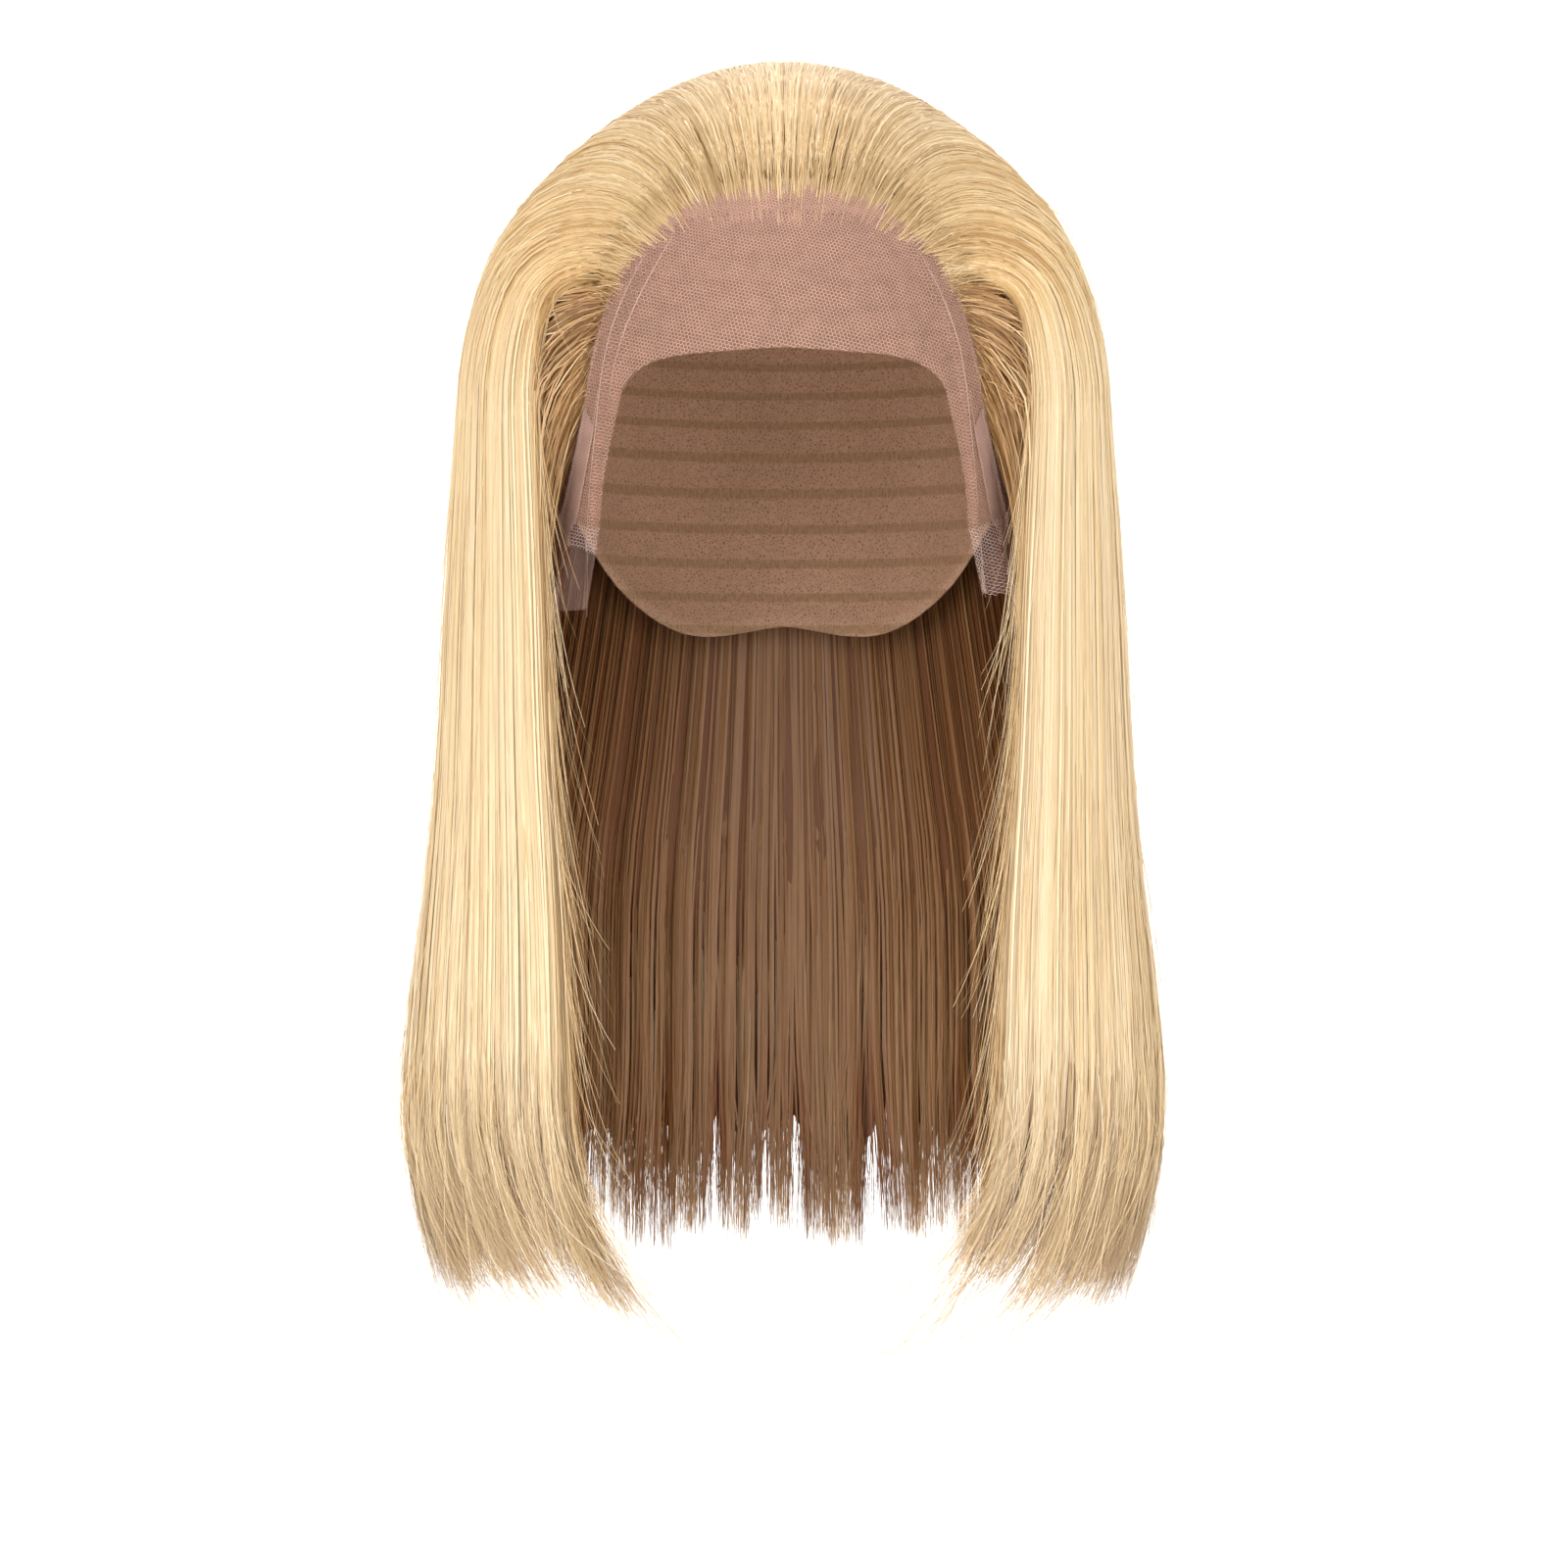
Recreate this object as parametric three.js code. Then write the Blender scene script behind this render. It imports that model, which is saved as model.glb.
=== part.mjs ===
// A straight blonde bob wig with a sheer lace front, in the form it takes on a head.
// Millimetres, +Z up, the face looks along -Y and +X is on the right of someone who faces it.
// The origin is the top of the cap's inside, where the wig sits on the crown of a head.
import * as THREE from "three";

// Head that the cap fits, as an ellipsoid with a deeper lower half.
const headHalfWidth = 75;
const headFront = 92;
const headBack = 97;
const crownHeight = 100; // from the widest level up to the crown
const lowerHeight = 125; // how far the lower half would reach down

// Cap, lace and the clearance between neighbours.
const capWall = 1.2;
const laceWall = 1;
const seam = 0.3;
const facetSag = 0.9; // room for the flat facets of the hair's inside over the round cap

// Hair on the head, as its depth over the cap.
const hairTop = 11;
const hairSide = 23;
const hairFront = 4;
const hairBack = 15;
const rootShare = 0.14; // share of that depth at the hairline

// Hair that falls from the widest level down.
const fallLength = 262;
const fallHalfWidth = 114;
const fallFront = 106;
const fallBack = 100;
const fallWall = 13; // depth of the hair where it hangs free
const tipWall = 8;
const thinFrom = 0.78; // share of the fall from which its depth goes down to tipWall
const templeGap = 73; // from the middle of the face to the front edge of the hair, at the temple
const chestGap = 62; // and at the chest

// Parting over each shoulder, and the turn of the tips towards the chest.
const shoulderDrop = 118; // from the widest level to the top of the parting
const shoulderSlope = 88;
const shoulderFront = 60;
const shoulderBack = 34;
const shoulderFade = 60;
const tuck = 8; // how far the hair behind the shoulders draws in
const curl = 18;
const curlLength = 56;

// Locks. Each is a ridge along the hair that ends in a point of its own.
const frontLocks = 8;
const backLocks = 15;
const lockHeight = 2.4;
const lockPoint = 0.14; // share of a strand's length over which a lock narrows to its point
const grooveEnd = 0.93; // where the grooves between the locks end, as a share of that length

// Hair that grows at the temples and lies below the front locks.
const templeDepth = 3.2;
const underlay = 7; // room for it
const templeDrop = 150; // from the widest level to its tips
const templeTurn = 60; // its rearmost root, in degrees from the middle of the forehead
const templeSpread = { front: 0.95, back: 0.74 }; // between which strands it lies

// Strand spread: 0 is the middle of the back, 1 the front edge of the hair on either side.
const parting = 0.6;
const hairlineTurn = 44.5;
const onHead = 0.42; // share of a strand's length that lies on the head
const frontRise = 22; // how steeply the strands at the front edge lift off, in degrees
const crownRise = 80; // and those in the middle
const riseFade = 1.5;

// The cap's rim. turn is in degrees from the middle of the forehead, drop a share of crownHeight.
const rim = [
  { turn: 0, drop: 0.435 },
  { turn: 15, drop: 0.44 },
  { turn: 27, drop: 0.455 },
  { turn: 38, drop: 0.53 },
  { turn: 44.5, drop: 0.645 },
  { turn: 48.5, drop: 0.79 },
  { turn: 50.5, drop: 0.96 },
  { turn: 54, drop: 1.11 },
  { turn: 61, drop: 1.31 },
  { turn: 68, drop: 1.31 },
  { turn: 80, drop: 1.17 },
  { turn: 95, drop: 1.12 },
  { turn: 112, drop: 1.22 },
  { turn: 132, drop: 1.5 },
  { turn: 152, drop: 1.63 },
  { turn: 180, drop: 1.6 },
];

// The fall's outline. down is a share of fallLength, and the others are the shares of the way
// from the size at the widest level to the size of the fall.
const fall = [
  { down: 0, side: 0, front: 0, back: 0, gap: 0, wall: 0 },
  { down: 0.2, side: 0.27, front: 0.05, back: 0.05, gap: 0.27, wall: 0.25 },
  { down: 0.4, side: 0.47, front: 0.1, back: 0.25, gap: 0.45, wall: 0.65 },
  { down: 0.6, side: 0.8, front: 0.25, back: 0.55, gap: 0.77, wall: 0.95 },
  { down: 0.78, side: 1, front: 0.6, back: 0.8, gap: 0.95, wall: 1 },
  { down: 1, side: 0.9, front: 1, back: 1, gap: 1, wall: 1 },
];

// The lace's free edge, against the turn of the rim where it starts. Turns are in degrees, and
// drops are shares of crownHeight.
const laceEdge = [
  { turn: 0, edgeTurn: 0, edgeDrop: 0.85 },
  { turn: 15, edgeTurn: 14, edgeDrop: 0.86 },
  { turn: 27, edgeTurn: 26, edgeDrop: 0.87 },
  { turn: 38, edgeTurn: 34, edgeDrop: 0.9 },
  { turn: 44.5, edgeTurn: 38.5, edgeDrop: 0.95 },
  { turn: 48.5, edgeTurn: 40.5, edgeDrop: 1.03 },
  { turn: 50.5, edgeTurn: 43, edgeDrop: 1.13 },
  { turn: 54, edgeTurn: 45, edgeDrop: 1.24 },
  { turn: 61, edgeTurn: 46, edgeDrop: 1.36 },
];
const tailEnd = { turn: 64, drop: 1.63, edgeTurn: 45.5, edgeDrop: 1.62 };
const tailShare = { left: 1, right: 0.965 }; // the two tails aren't quite the same length
const laceCreases = [
  { turn: -33, wide: 4, high: 1.6 },
  { turn: -23, wide: 3, high: 1.2 },
  { turn: 35, wide: 4, high: 1.4 },
];
const tailFold = 3.2; // how far the tails' folds stand out at their ends
const tailFolds = 1.5;

const deg = THREE.MathUtils.degToRad;
const { lerp, smoothstep } = THREE.MathUtils;
const widest = -crownHeight;

// A smooth value from a table's column, where key is at.
function valueAt(rows, key, column, at) {
  const last = rows.length - 1;
  const x = THREE.MathUtils.clamp(at, rows[0][key], rows[last][key]);
  let i = 0;
  while (i < last - 1 && x > rows[i + 1][key]) i += 1;
  const slope = (j) => {
    const a = rows[Math.max(j - 1, 0)];
    const b = rows[Math.min(j + 1, last)];
    return (b[column] - a[column]) / (b[key] - a[key]);
  };
  const span = rows[i + 1][key] - rows[i][key];
  const s = (x - rows[i][key]) / span;
  return (
    (1 + 2 * s) * (1 - s) ** 2 * rows[i][column] +
    s * (1 - s) ** 2 * span * slope(i) +
    s * s * (3 - 2 * s) * rows[i + 1][column] +
    s * s * (s - 1) * span * slope(i + 1)
  );
}

const rimDrop = (turn) => crownHeight * valueAt(rim, "turn", "drop", Math.abs(turn));

// A point of the head form, lift outside it. turn and tilt are in radians, tilt from the crown.
function headPoint(turn, tilt, lift) {
  const reach = Math.sin(tilt);
  const depth = Math.cos(turn) > 0 ? headFront : headBack;
  const height = Math.cos(tilt) > 0 ? crownHeight : lowerHeight;
  return new THREE.Vector3(
    (headHalfWidth + lift) * reach * Math.sin(turn),
    -(depth + lift) * reach * Math.cos(turn),
    widest + (height + lift) * Math.cos(tilt),
  );
}

// The tilt from the crown at which the head form is drop below it.
function tiltAt(drop) {
  const above = crownHeight - drop;
  return Math.acos(above / (above > 0 ? crownHeight : lowerHeight));
}

// Half axes of the hair's plan at a level: rise above the widest level, or below it if negative.
// layer 0 lies on the cap and 1 is the outside.
function planAt(rise, layer) {
  const base = capWall + seam + facetSag;
  const inner = { side: headHalfWidth + base, front: headFront + base, back: headBack + base };
  const deep = { side: hairSide, front: hairFront, back: hairBack };
  const full = { side: fallHalfWidth, front: fallFront, back: fallBack };
  const down = THREE.MathUtils.clamp(-rise / fallLength, 0, 1);
  const at = (column) => valueAt(fall, "down", column, down);
  const narrow = Math.sqrt(Math.max(1 - (Math.min(rise, 0) / lowerHeight) ** 2, 0));
  const wallBelow = lerp(fallWall, tipWall, smoothstep(down, thinFrom, 1));
  const plan = { gap: lerp(templeGap, chestGap, at("gap")) };
  for (const axis of ["side", "front", "back"]) {
    const outside = lerp(inner[axis] + deep[axis], full[axis], at(axis));
    const wall = lerp(deep[axis], wallBelow, at("wall"));
    plan[axis] = lerp(Math.max(outside - wall, inner[axis] * narrow), outside, layer);
  }
  return plan;
}

// A point of the hair at a turn in radians from the front and a rise from the widest level.
function hairPoint(turn, rise, layer, lift = 0) {
  const plan = planAt(rise, layer);
  const depth = Math.cos(turn) > 0 ? plan.front : plan.back;
  const up = THREE.MathUtils.clamp(rise / crownHeight, 0, 1);
  const reach = Math.sqrt(1 - up * up);
  const high = crownHeight + capWall + seam + facetSag + hairTop * layer + lift;
  return new THREE.Vector3(
    (plan.side + lift) * reach * Math.sin(turn),
    -(depth + lift) * reach * Math.cos(turn),
    widest + (rise > 0 ? high * up : rise),
  );
}

// The turn of a strand where it falls.
function fallTurn(spread, rise, layer, lift = 0) {
  const plan = planAt(rise, layer);
  const front = Math.asin(Math.min(plan.gap / (plan.side + lift), 1));
  return lerp(Math.PI, front, Math.abs(spread)) * Math.sign(spread || 1);
}

function direction(turn, up) {
  const reach = Math.sqrt(1 - up * up);
  return new THREE.Vector3(reach * Math.sin(turn), -reach * Math.cos(turn), up);
}

// Share of its depth that the hair has reached at a place along a strand.
const grownAt = (along) => lerp(rootShare, 1, smoothstep(along / onHead, 0, 0.65));

// Room below a front strand at a level.
function roomAt(spread, rise) {
  const above = 1 - smoothstep(rise, 0.25 * crownHeight, 0.62 * crownHeight);
  const below = smoothstep(rise, -1.05 * templeDrop, -0.6 * templeDrop);
  return underlay * above * below * smoothstep(Math.abs(spread), parting, templeSpread.back - 0.03);
}

// A strand on one layer. spread is -1 to 1, along 0 at the root to 1 at the tip, and raised
// lifts it by the room below it.
function layerPoint(spread, along, layer, raised = false) {
  const room = (rise) => (raised ? roomAt(spread, rise) * grownAt(along) : 0);
  const down = (fallLength * Math.max(along - onHead, 0)) / (1 - onHead);
  if (down > 0) {
    const lift = room(-down);
    return hairPoint(fallTurn(spread, -down, layer, lift), -down, layer, lift);
  }
  const s = along / onHead;
  const rootTurn = hairlineTurn * spread;
  const bend = deg(lerp(crownRise, frontRise, Math.abs(spread) ** riseFade));
  const endTurn = fallTurn(spread, 0, layer, room(0));
  const way = direction(deg(rootTurn), 1 - rimDrop(rootTurn) / crownHeight);
  way.multiplyScalar((1 - s) ** 2);
  way.addScaledVector(direction(endTurn, Math.sin(bend)), 2 * s * (1 - s));
  way.addScaledVector(direction(endTurn, 0), s * s).normalize();
  const rise = crownHeight * way.z;
  return hairPoint(Math.atan2(way.x, -way.y), rise, layer, room(rise));
}

// A point of the outer hair, depth 0 on its inside to 1 on its outside, less inset millimetres.
function strandPoint(spread, along, depth, inset, inFront) {
  const full = layerPoint(spread, along, 1);
  const outer = layerPoint(spread, along, 0).lerp(full, grownAt(along));
  const inner = layerPoint(spread, along, 0, inFront);
  const point = outer.clone().lerp(inner, 1 - depth + inset / inner.distanceTo(outer));
  const down = widest - point.z;
  const push = smoothstep(down, shoulderDrop, shoulderDrop + shoulderSlope);
  if (inFront) {
    const k = Math.max(down - (fallLength - curlLength), 0) / curlLength;
    point.y -= shoulderFront * push * Math.exp(-(hairBack - point.y) / shoulderFade);
    point.x -= Math.sign(spread) * curl * k * k;
  } else {
    point.y += shoulderBack * push * Math.exp(-(point.y - hairBack) / shoulderFade);
    point.x -= (tuck * push * point.x) / fallHalfWidth;
  }
  return point;
}

// A geometry from points and triangles, with equal points merged and its faces turned outwards.
function bodyOf(points, triangles) {
  const ids = new Map();
  const merged = [];
  const idOf = points.map((p) => {
    const key = p.toArray().map((c) => Math.round(c * 1e4)).join();
    if (!ids.has(key)) {
      ids.set(key, merged.length);
      merged.push(p);
    }
    return ids.get(key);
  });
  const faces = triangles
    .map((t) => t.map((i) => idOf[i]))
    .filter(([a, b, c]) => a !== b && b !== c && c !== a);
  const volume = faces.reduce((sum, [a, b, c]) => {
    return sum + merged[a].dot(merged[b].clone().cross(merged[c]));
  }, 0);
  if (volume < 0) faces.forEach((f) => f.reverse());
  const geometry = new THREE.BufferGeometry().setFromPoints(merged);
  return geometry.setIndex(faces.flat());
}

// A closed body between two grids of points with the same rows and columns. around says that
// the first and last columns are one.
function slab(front, back, around = false) {
  const rows = front.length;
  const columns = front[0].length;
  const half = rows * columns;
  const triangles = [];
  const quad = (a, b, c, d) => triangles.push([a, b, c], [a, c, d]);
  for (let r = 0; r < rows - 1; r++) {
    for (let c = 0; c < columns - 1; c++) {
      const i = r * columns + c;
      quad(i, i + 1, i + columns + 1, i + columns);
      quad(half + i, half + i + columns, half + i + columns + 1, half + i + 1);
    }
  }
  for (let c = 0; c < columns - 1; c++) {
    const end = (rows - 1) * columns + c;
    quad(c, half + c, half + c + 1, c + 1);
    quad(end, end + 1, half + end + 1, half + end);
  }
  for (let r = 0; r < rows - 1 && !around; r++) {
    const i = r * columns;
    const j = i + columns - 1;
    quad(i, i + columns, half + i + columns, half + i);
    quad(j, half + j, half + j + columns, j + columns);
  }
  return bodyOf([...front.flat(), ...back.flat()], triangles);
}

const steps = (n, from, to) => Array.from({ length: n + 1 }, (_, i) => lerp(from, to, i / n));

// Columns of a hair piece: the grooves between its locks, and two on the ridge of each lock.
function lockColumns(from, to, locks, seed) {
  const wave = (i) => (Math.sin(2.4 * (seed + i)) + Math.sin(5.1 * (seed + i))) / 2;
  const edge = (i) => lerp(from, to, (i + (i > 0 && i < locks ? 0.22 * wave(i) : 0)) / locks);
  const columns = [];
  for (let i = 0; i <= locks; i++) {
    columns.push({ spread: edge(i), middle: edge(i), ridge: false, end: grooveEnd });
    if (i === locks) break;
    const middle = (edge(i) + edge(i + 1)) / 2;
    for (const share of [0.3, 0.7]) {
      const spread = lerp(edge(i), edge(i + 1), share);
      columns.push({ spread, middle, ridge: true, end: 0.985 + 0.015 * wave(i + 7.5) });
    }
  }
  return columns;
}

// Hair between two spreads, clear of the hair beside it.
function hairPiece({ from, to, locks, inFront, seed }) {
  const falling = steps(9, 1, 0).slice(1).map((left) => lerp(1, onHead, left ** 1.3));
  const shares = [...steps(12, 0, onHead), ...falling];
  const columns = lockColumns(from, to, locks, seed);
  const sheet = (outside) =>
    shares.map((share) =>
      columns.map(({ spread, middle, ridge, end }, i) => {
        const along = share * lerp(1, end, smoothstep(share, 0.6, 1));
        const taper = smoothstep(share, 1 - lockPoint, 1);
        const high = lockHeight * smoothstep(along, 0.05, 0.5);
        const thin = taper * (ridge ? 0.3 : 0.42);
        const at = lerp(spread, middle, 0.7 * taper);
        const depth = outside ? 1 - thin : thin;
        const point = strandPoint(at, along, depth, outside && !ridge ? high * (1 - taper) : 0, inFront);
        if (i > 0 && i < columns.length - 1) return point;
        const inward = columns[i === 0 ? 1 : i - 1].spread;
        const beside = strandPoint(inward, along, depth, 0, inFront);
        return point.add(beside.sub(point).setLength(seam));
      }),
    );
  return slab(sheet(true), sheet(false));
}

// Turns at which the rim is followed, in degrees.
const rimTurns = rim
  .slice(1)
  .flatMap((row, i) => {
    const before = rim[i].turn;
    return steps(Math.ceil((row.turn - before) / 9), before, row.turn).slice(1);
  });

function capGeometry() {
  const turns = [...rimTurns.map((turn) => -turn).reverse(), 0, ...rimTurns];
  const shares = steps(7, 0, 1);
  const wall = (lift) =>
    shares.map((share) =>
      turns.map((turn) => headPoint(deg(turn), tiltAt(rimDrop(turn)) * share, lift)),
    );
  return slab(wall(capWall), wall(0), true);
}

// The hair that grows from the rim at a temple, swept back below the locks.
function templeHair(side) {
  const roots = steps(7, 0, 1);
  const sheet = (outside) =>
    steps(12, 0, 1).map((along) =>
      roots.map((root, i) => {
        const rootTurn = lerp(templeTurn, hairlineTurn + 0.5, root);
        const rootRise = crownHeight - rimDrop(rootTurn) + seam;
        const rise = lerp(rootRise, -templeDrop * (1 - 0.09 * (i % 2)), along ** lerp(1.2, 1.9, root));
        const spread = lerp(templeSpread.front, templeSpread.back, root);
        const turn = lerp(deg(rootTurn), fallTurn(spread, rise, 0), smoothstep(along, 0, 0.5));
        const thick = templeDepth * lerp(0.16, 1, smoothstep(along, 0, 0.3));
        const thin = lerp(1, 0.4, smoothstep(along, 0.8, 1));
        return hairPoint(side * turn, rise, 0, outside ? thick * thin : 0);
      }),
    );
  return slab(sheet(true), sheet(false));
}

// The lace hangs straight down from the widest level, so its tails stand off the jaw.
function lacePoint(turn, drop, lift) {
  const point = headPoint(turn, Math.min(tiltAt(drop), Math.PI / 2), lift);
  if (drop > crownHeight) point.z = -drop;
  return point;
}

function laceGeometry() {
  const last = laceEdge[laceEdge.length - 1];
  const onRim = rimTurns.filter((turn) => turn <= last.turn);
  const half = [0, ...onRim].map((turn) => ({
    turn,
    drop: rimDrop(turn),
    edgeTurn: valueAt(laceEdge, "turn", "edgeTurn", turn),
    edgeDrop: crownHeight * valueAt(laceEdge, "turn", "edgeDrop", turn),
    tail: 0,
  }));
  const start = half[half.length - 1];
  for (const tail of steps(5, 0, 1).slice(1)) {
    half.push({
      turn: lerp(start.turn, tailEnd.turn, tail),
      drop: lerp(start.drop, crownHeight * tailEnd.drop, tail),
      edgeTurn: lerp(start.edgeTurn, tailEnd.edgeTurn, tail),
      edgeDrop: lerp(start.edgeDrop, crownHeight * tailEnd.edgeDrop, tail),
      tail,
    });
  }
  const sided = (side, share) =>
    half.map((row) => {
      const tailShort = lerp(1, share, row.tail);
      return { ...row, side, drop: row.drop * tailShort, edgeDrop: row.edgeDrop * tailShort };
    });
  const rows = [
    ...sided(-1, tailShare.left).slice(1).reverse(),
    ...sided(1, tailShare.right),
  ];
  const pointAt = (row, across, lift) => {
    const turn = row.side * lerp(row.turn, row.edgeTurn, across);
    const crease = laceCreases.reduce((sum, c) => {
      const near = Math.exp(-(((turn - c.turn) / c.wide) ** 2));
      return sum + c.high * near * Math.sin(Math.PI * across);
    }, 0);
    const fold = tailFold * row.tail * (1 - Math.cos(2 * Math.PI * tailFolds * across));
    return lacePoint(deg(turn), lerp(row.drop, row.edgeDrop, across), lift + crease + fold);
  };
  const acrosses = steps(5, 0, 1);
  const sheet = (lift) =>
    acrosses.map((across, i) =>
      rows.map((row) => {
        const point = pointAt(row, across, lift);
        if (i > 0) return point;
        return point.add(pointAt(row, acrosses[1], lift).sub(point).setLength(seam));
      }),
    );
  return slab(sheet(laceWall), sheet(0));
}

const blonde = new THREE.MeshStandardMaterial({ color: 0xe9cf98, roughness: 0.45, metalness: 0 });
const shadeBlonde = new THREE.MeshStandardMaterial({ color: 0xb98a52, roughness: 0.5, metalness: 0 });
const netBeige = new THREE.MeshStandardMaterial({ color: 0xc9a78c, roughness: 0.85, metalness: 0 });
const laceTint = new THREE.MeshStandardMaterial({ color: 0xb8897a, roughness: 0.8, metalness: 0 });

function piece(name, geometry, material) {
  const mesh = new THREE.Mesh(geometry, material);
  mesh.name = name;
  return mesh;
}

const wig = new THREE.Group();
wig.add(piece("cap", capGeometry(), netBeige));
wig.add(piece("lace_front", laceGeometry(), laceTint));
const backHair = { from: -parting, to: parting, locks: backLocks, inFront: false, seed: 3 };
wig.add(piece("crown_and_back_hair", hairPiece(backHair), blonde));
for (const [side, name, seed] of [
  [-1, "left", 11],
  [1, "right", 26],
]) {
  const frontHair = { from: parting * side, to: side, locks: frontLocks, inFront: true, seed };
  wig.add(piece(`${name}_front_hair`, hairPiece(frontHair), blonde));
  wig.add(piece(`${name}_temple_hair`, templeHair(side), shadeBlonde));
}

export default wig;
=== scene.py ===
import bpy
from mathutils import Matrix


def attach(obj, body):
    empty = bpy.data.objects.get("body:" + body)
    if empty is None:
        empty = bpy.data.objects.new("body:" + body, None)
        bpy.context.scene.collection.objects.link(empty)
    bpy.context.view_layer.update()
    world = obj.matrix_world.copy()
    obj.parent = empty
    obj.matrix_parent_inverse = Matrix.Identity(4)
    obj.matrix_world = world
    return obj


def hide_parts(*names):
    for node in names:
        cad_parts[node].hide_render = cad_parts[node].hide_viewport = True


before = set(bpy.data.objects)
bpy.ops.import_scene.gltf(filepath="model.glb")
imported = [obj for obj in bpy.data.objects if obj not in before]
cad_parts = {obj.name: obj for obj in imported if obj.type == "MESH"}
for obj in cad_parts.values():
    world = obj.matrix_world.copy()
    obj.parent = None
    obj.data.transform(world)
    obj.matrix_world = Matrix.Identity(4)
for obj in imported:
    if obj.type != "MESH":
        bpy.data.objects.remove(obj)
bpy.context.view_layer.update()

import math
from collections import namedtuple

import bmesh
import bpy
import numpy as np
from mathutils import Vector
from mathutils.kdtree import KDTree

# Camera, in metres: the photo's frame is FRAME_WIDTH wide where the face is
FACE_PLANE, FRAME_WIDTH, CAMERA_AWAY, CAMERA_LEVEL = -0.060, 0.464, 1.5, -0.2115
SENSOR = 36.0
camera_data = bpy.data.cameras.new("camera")
camera_data.sensor_width = SENSOR
camera_data.lens = SENSOR * CAMERA_AWAY / FRAME_WIDTH
camera_data.clip_start, camera_data.clip_end = 0.05, 20.0
camera = bpy.data.objects.new("camera", camera_data)
camera.location = (0.0, FACE_PLANE - CAMERA_AWAY, CAMERA_LEVEL)
camera.rotation_euler = (math.pi / 2, 0.0, 0.0)
bpy.context.scene.collection.objects.link(camera)
bpy.context.scene.camera = camera

# Sizes in millimetres, turns, rises and leans in degrees, places along the hair as shares
HEAD_SIDE, HEAD_FRONT, HEAD_BACK = 75.0, 92.0, 97.0
CROWN, LOWER = 100.0, 125.0
CAP_WALL, OFF_CAP = 1.2, 2.4
DEEP = {"side": 23.0, "front": 4.0, "back": 15.0}
DEEP_TOP = 11.0
ROOT_SHARE = 0.14
FALL = 262.0
FULL = {"side": 114.0, "front": 106.0, "back": 100.0}
FALL_WALL, TIP_WALL, THIN_FROM = 13.0, 8.0, 0.78
TEMPLE_GAP, CHEST_GAP = 73.0, 62.0
SHOULDER_DROP, SHOULDER_SLOPE = 118.0, 88.0
SHOULDER_FRONT, SHOULDER_BACK, SHOULDER_FADE = 60.0, 34.0, 60.0
TUCK, CURL, CURL_LENGTH = 8.0, 18.0, 56.0
TEMPLE_DEPTH, UNDERLAY, TEMPLE_DROP, TEMPLE_TURN = 3.2, 7.0, 150.0, 60.0
TEMPLE_FRONT, TEMPLE_BACK = 0.95, 0.74
PARTING, HAIRLINE_TURN, ON_HEAD = 0.6, 44.5, 0.42
FRONT_RISE, CROWN_RISE, RISE_FADE = 22.0, 80.0, 1.5
# how far below the cap the roots begin
ROOT_SINK, TEMPLE_SINK = 1.7, 1.6

# turn, drop of the cap's rim as a share of the crown
RIM = np.array([
    (0, 0.435), (15, 0.44), (27, 0.455), (38, 0.53), (44.5, 0.645), (48.5, 0.79),
    (50.5, 0.96), (54, 1.11), (61, 1.31), (68, 1.31), (80, 1.17), (95, 1.12),
    (112, 1.22), (132, 1.5), (152, 1.63), (180, 1.6),
])
# place down the fall, and how far side, front, back, gap and wall have gone to their last values
FALL_ROWS = np.array([
    (0, 0, 0, 0, 0, 0),
    (0.2, 0.27, 0.05, 0.05, 0.27, 0.25),
    (0.4, 0.47, 0.1, 0.25, 0.45, 0.65),
    (0.6, 0.8, 0.25, 0.55, 0.77, 0.95),
    (0.78, 1, 0.6, 0.8, 0.95, 1),
    (1, 0.9, 1, 1, 1, 1),
])
FALL_COLUMN = {"side": 1, "front": 2, "back": 3, "gap": 4, "wall": 5}
# turn of the rim, turn of the free edge, drop of the free edge as a share of the crown
LACE_EDGE = np.array([
    (0, 0, 0.85), (15, 14, 0.86), (27, 26, 0.87), (38, 34, 0.9), (44.5, 38.5, 0.95),
    (48.5, 40.5, 1.03), (50.5, 43, 1.13), (54, 45, 1.24), (61, 46, 1.36),
])
# turn and drop of a tail's end beside the hair, then beside the face, and its share of that by side
TAIL_END = (64.0, 163.0, 45.5, 162.0)
TAIL_SHARE = {-1: 1.0, 1: 0.965}
# turn, half width and height of each crease
CREASES = ((-34, 2.2, 1.8), (-27, 1.8, 1.2), (33, 2.2, 1.6))
CREASE_LEAN = 19.0
TAIL_FOLD, TAIL_FOLDS = 3.2, 1.5


def lerp(a, b, t):
    return a + (b - a) * t


def smooth(x, a, b):
    t = np.clip((x - a) / (b - a), 0, 1)
    return t * t * (3 - 2 * t)


def value_at(keys, values, at):
    """A smooth curve through the values at the keys."""
    x = np.clip(at, keys[0], keys[-1])
    i = np.clip(np.searchsorted(keys, x, side="left") - 1, 0, len(keys) - 2)
    j = np.arange(len(keys))
    before, after = np.maximum(j - 1, 0), np.minimum(j + 1, len(keys) - 1)
    slope = (values[after] - values[before]) / (keys[after] - keys[before])
    span = keys[i + 1] - keys[i]
    s = (x - keys[i]) / span
    return (
        (1 + 2 * s) * (1 - s) ** 2 * values[i]
        + s * (1 - s) ** 2 * span * slope[i]
        + s * s * (3 - 2 * s) * values[i + 1]
        + s * s * (s - 1) * span * slope[i + 1]
    )


def rim_drop(turn):
    return CROWN * value_at(RIM[:, 0], RIM[:, 1], np.abs(turn))


def stack(*parts):
    return np.stack(np.broadcast_arrays(*parts), axis=-1)


def unit(vectors):
    return vectors / np.maximum(np.linalg.norm(vectors, axis=-1, keepdims=True), 1e-6)


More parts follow.
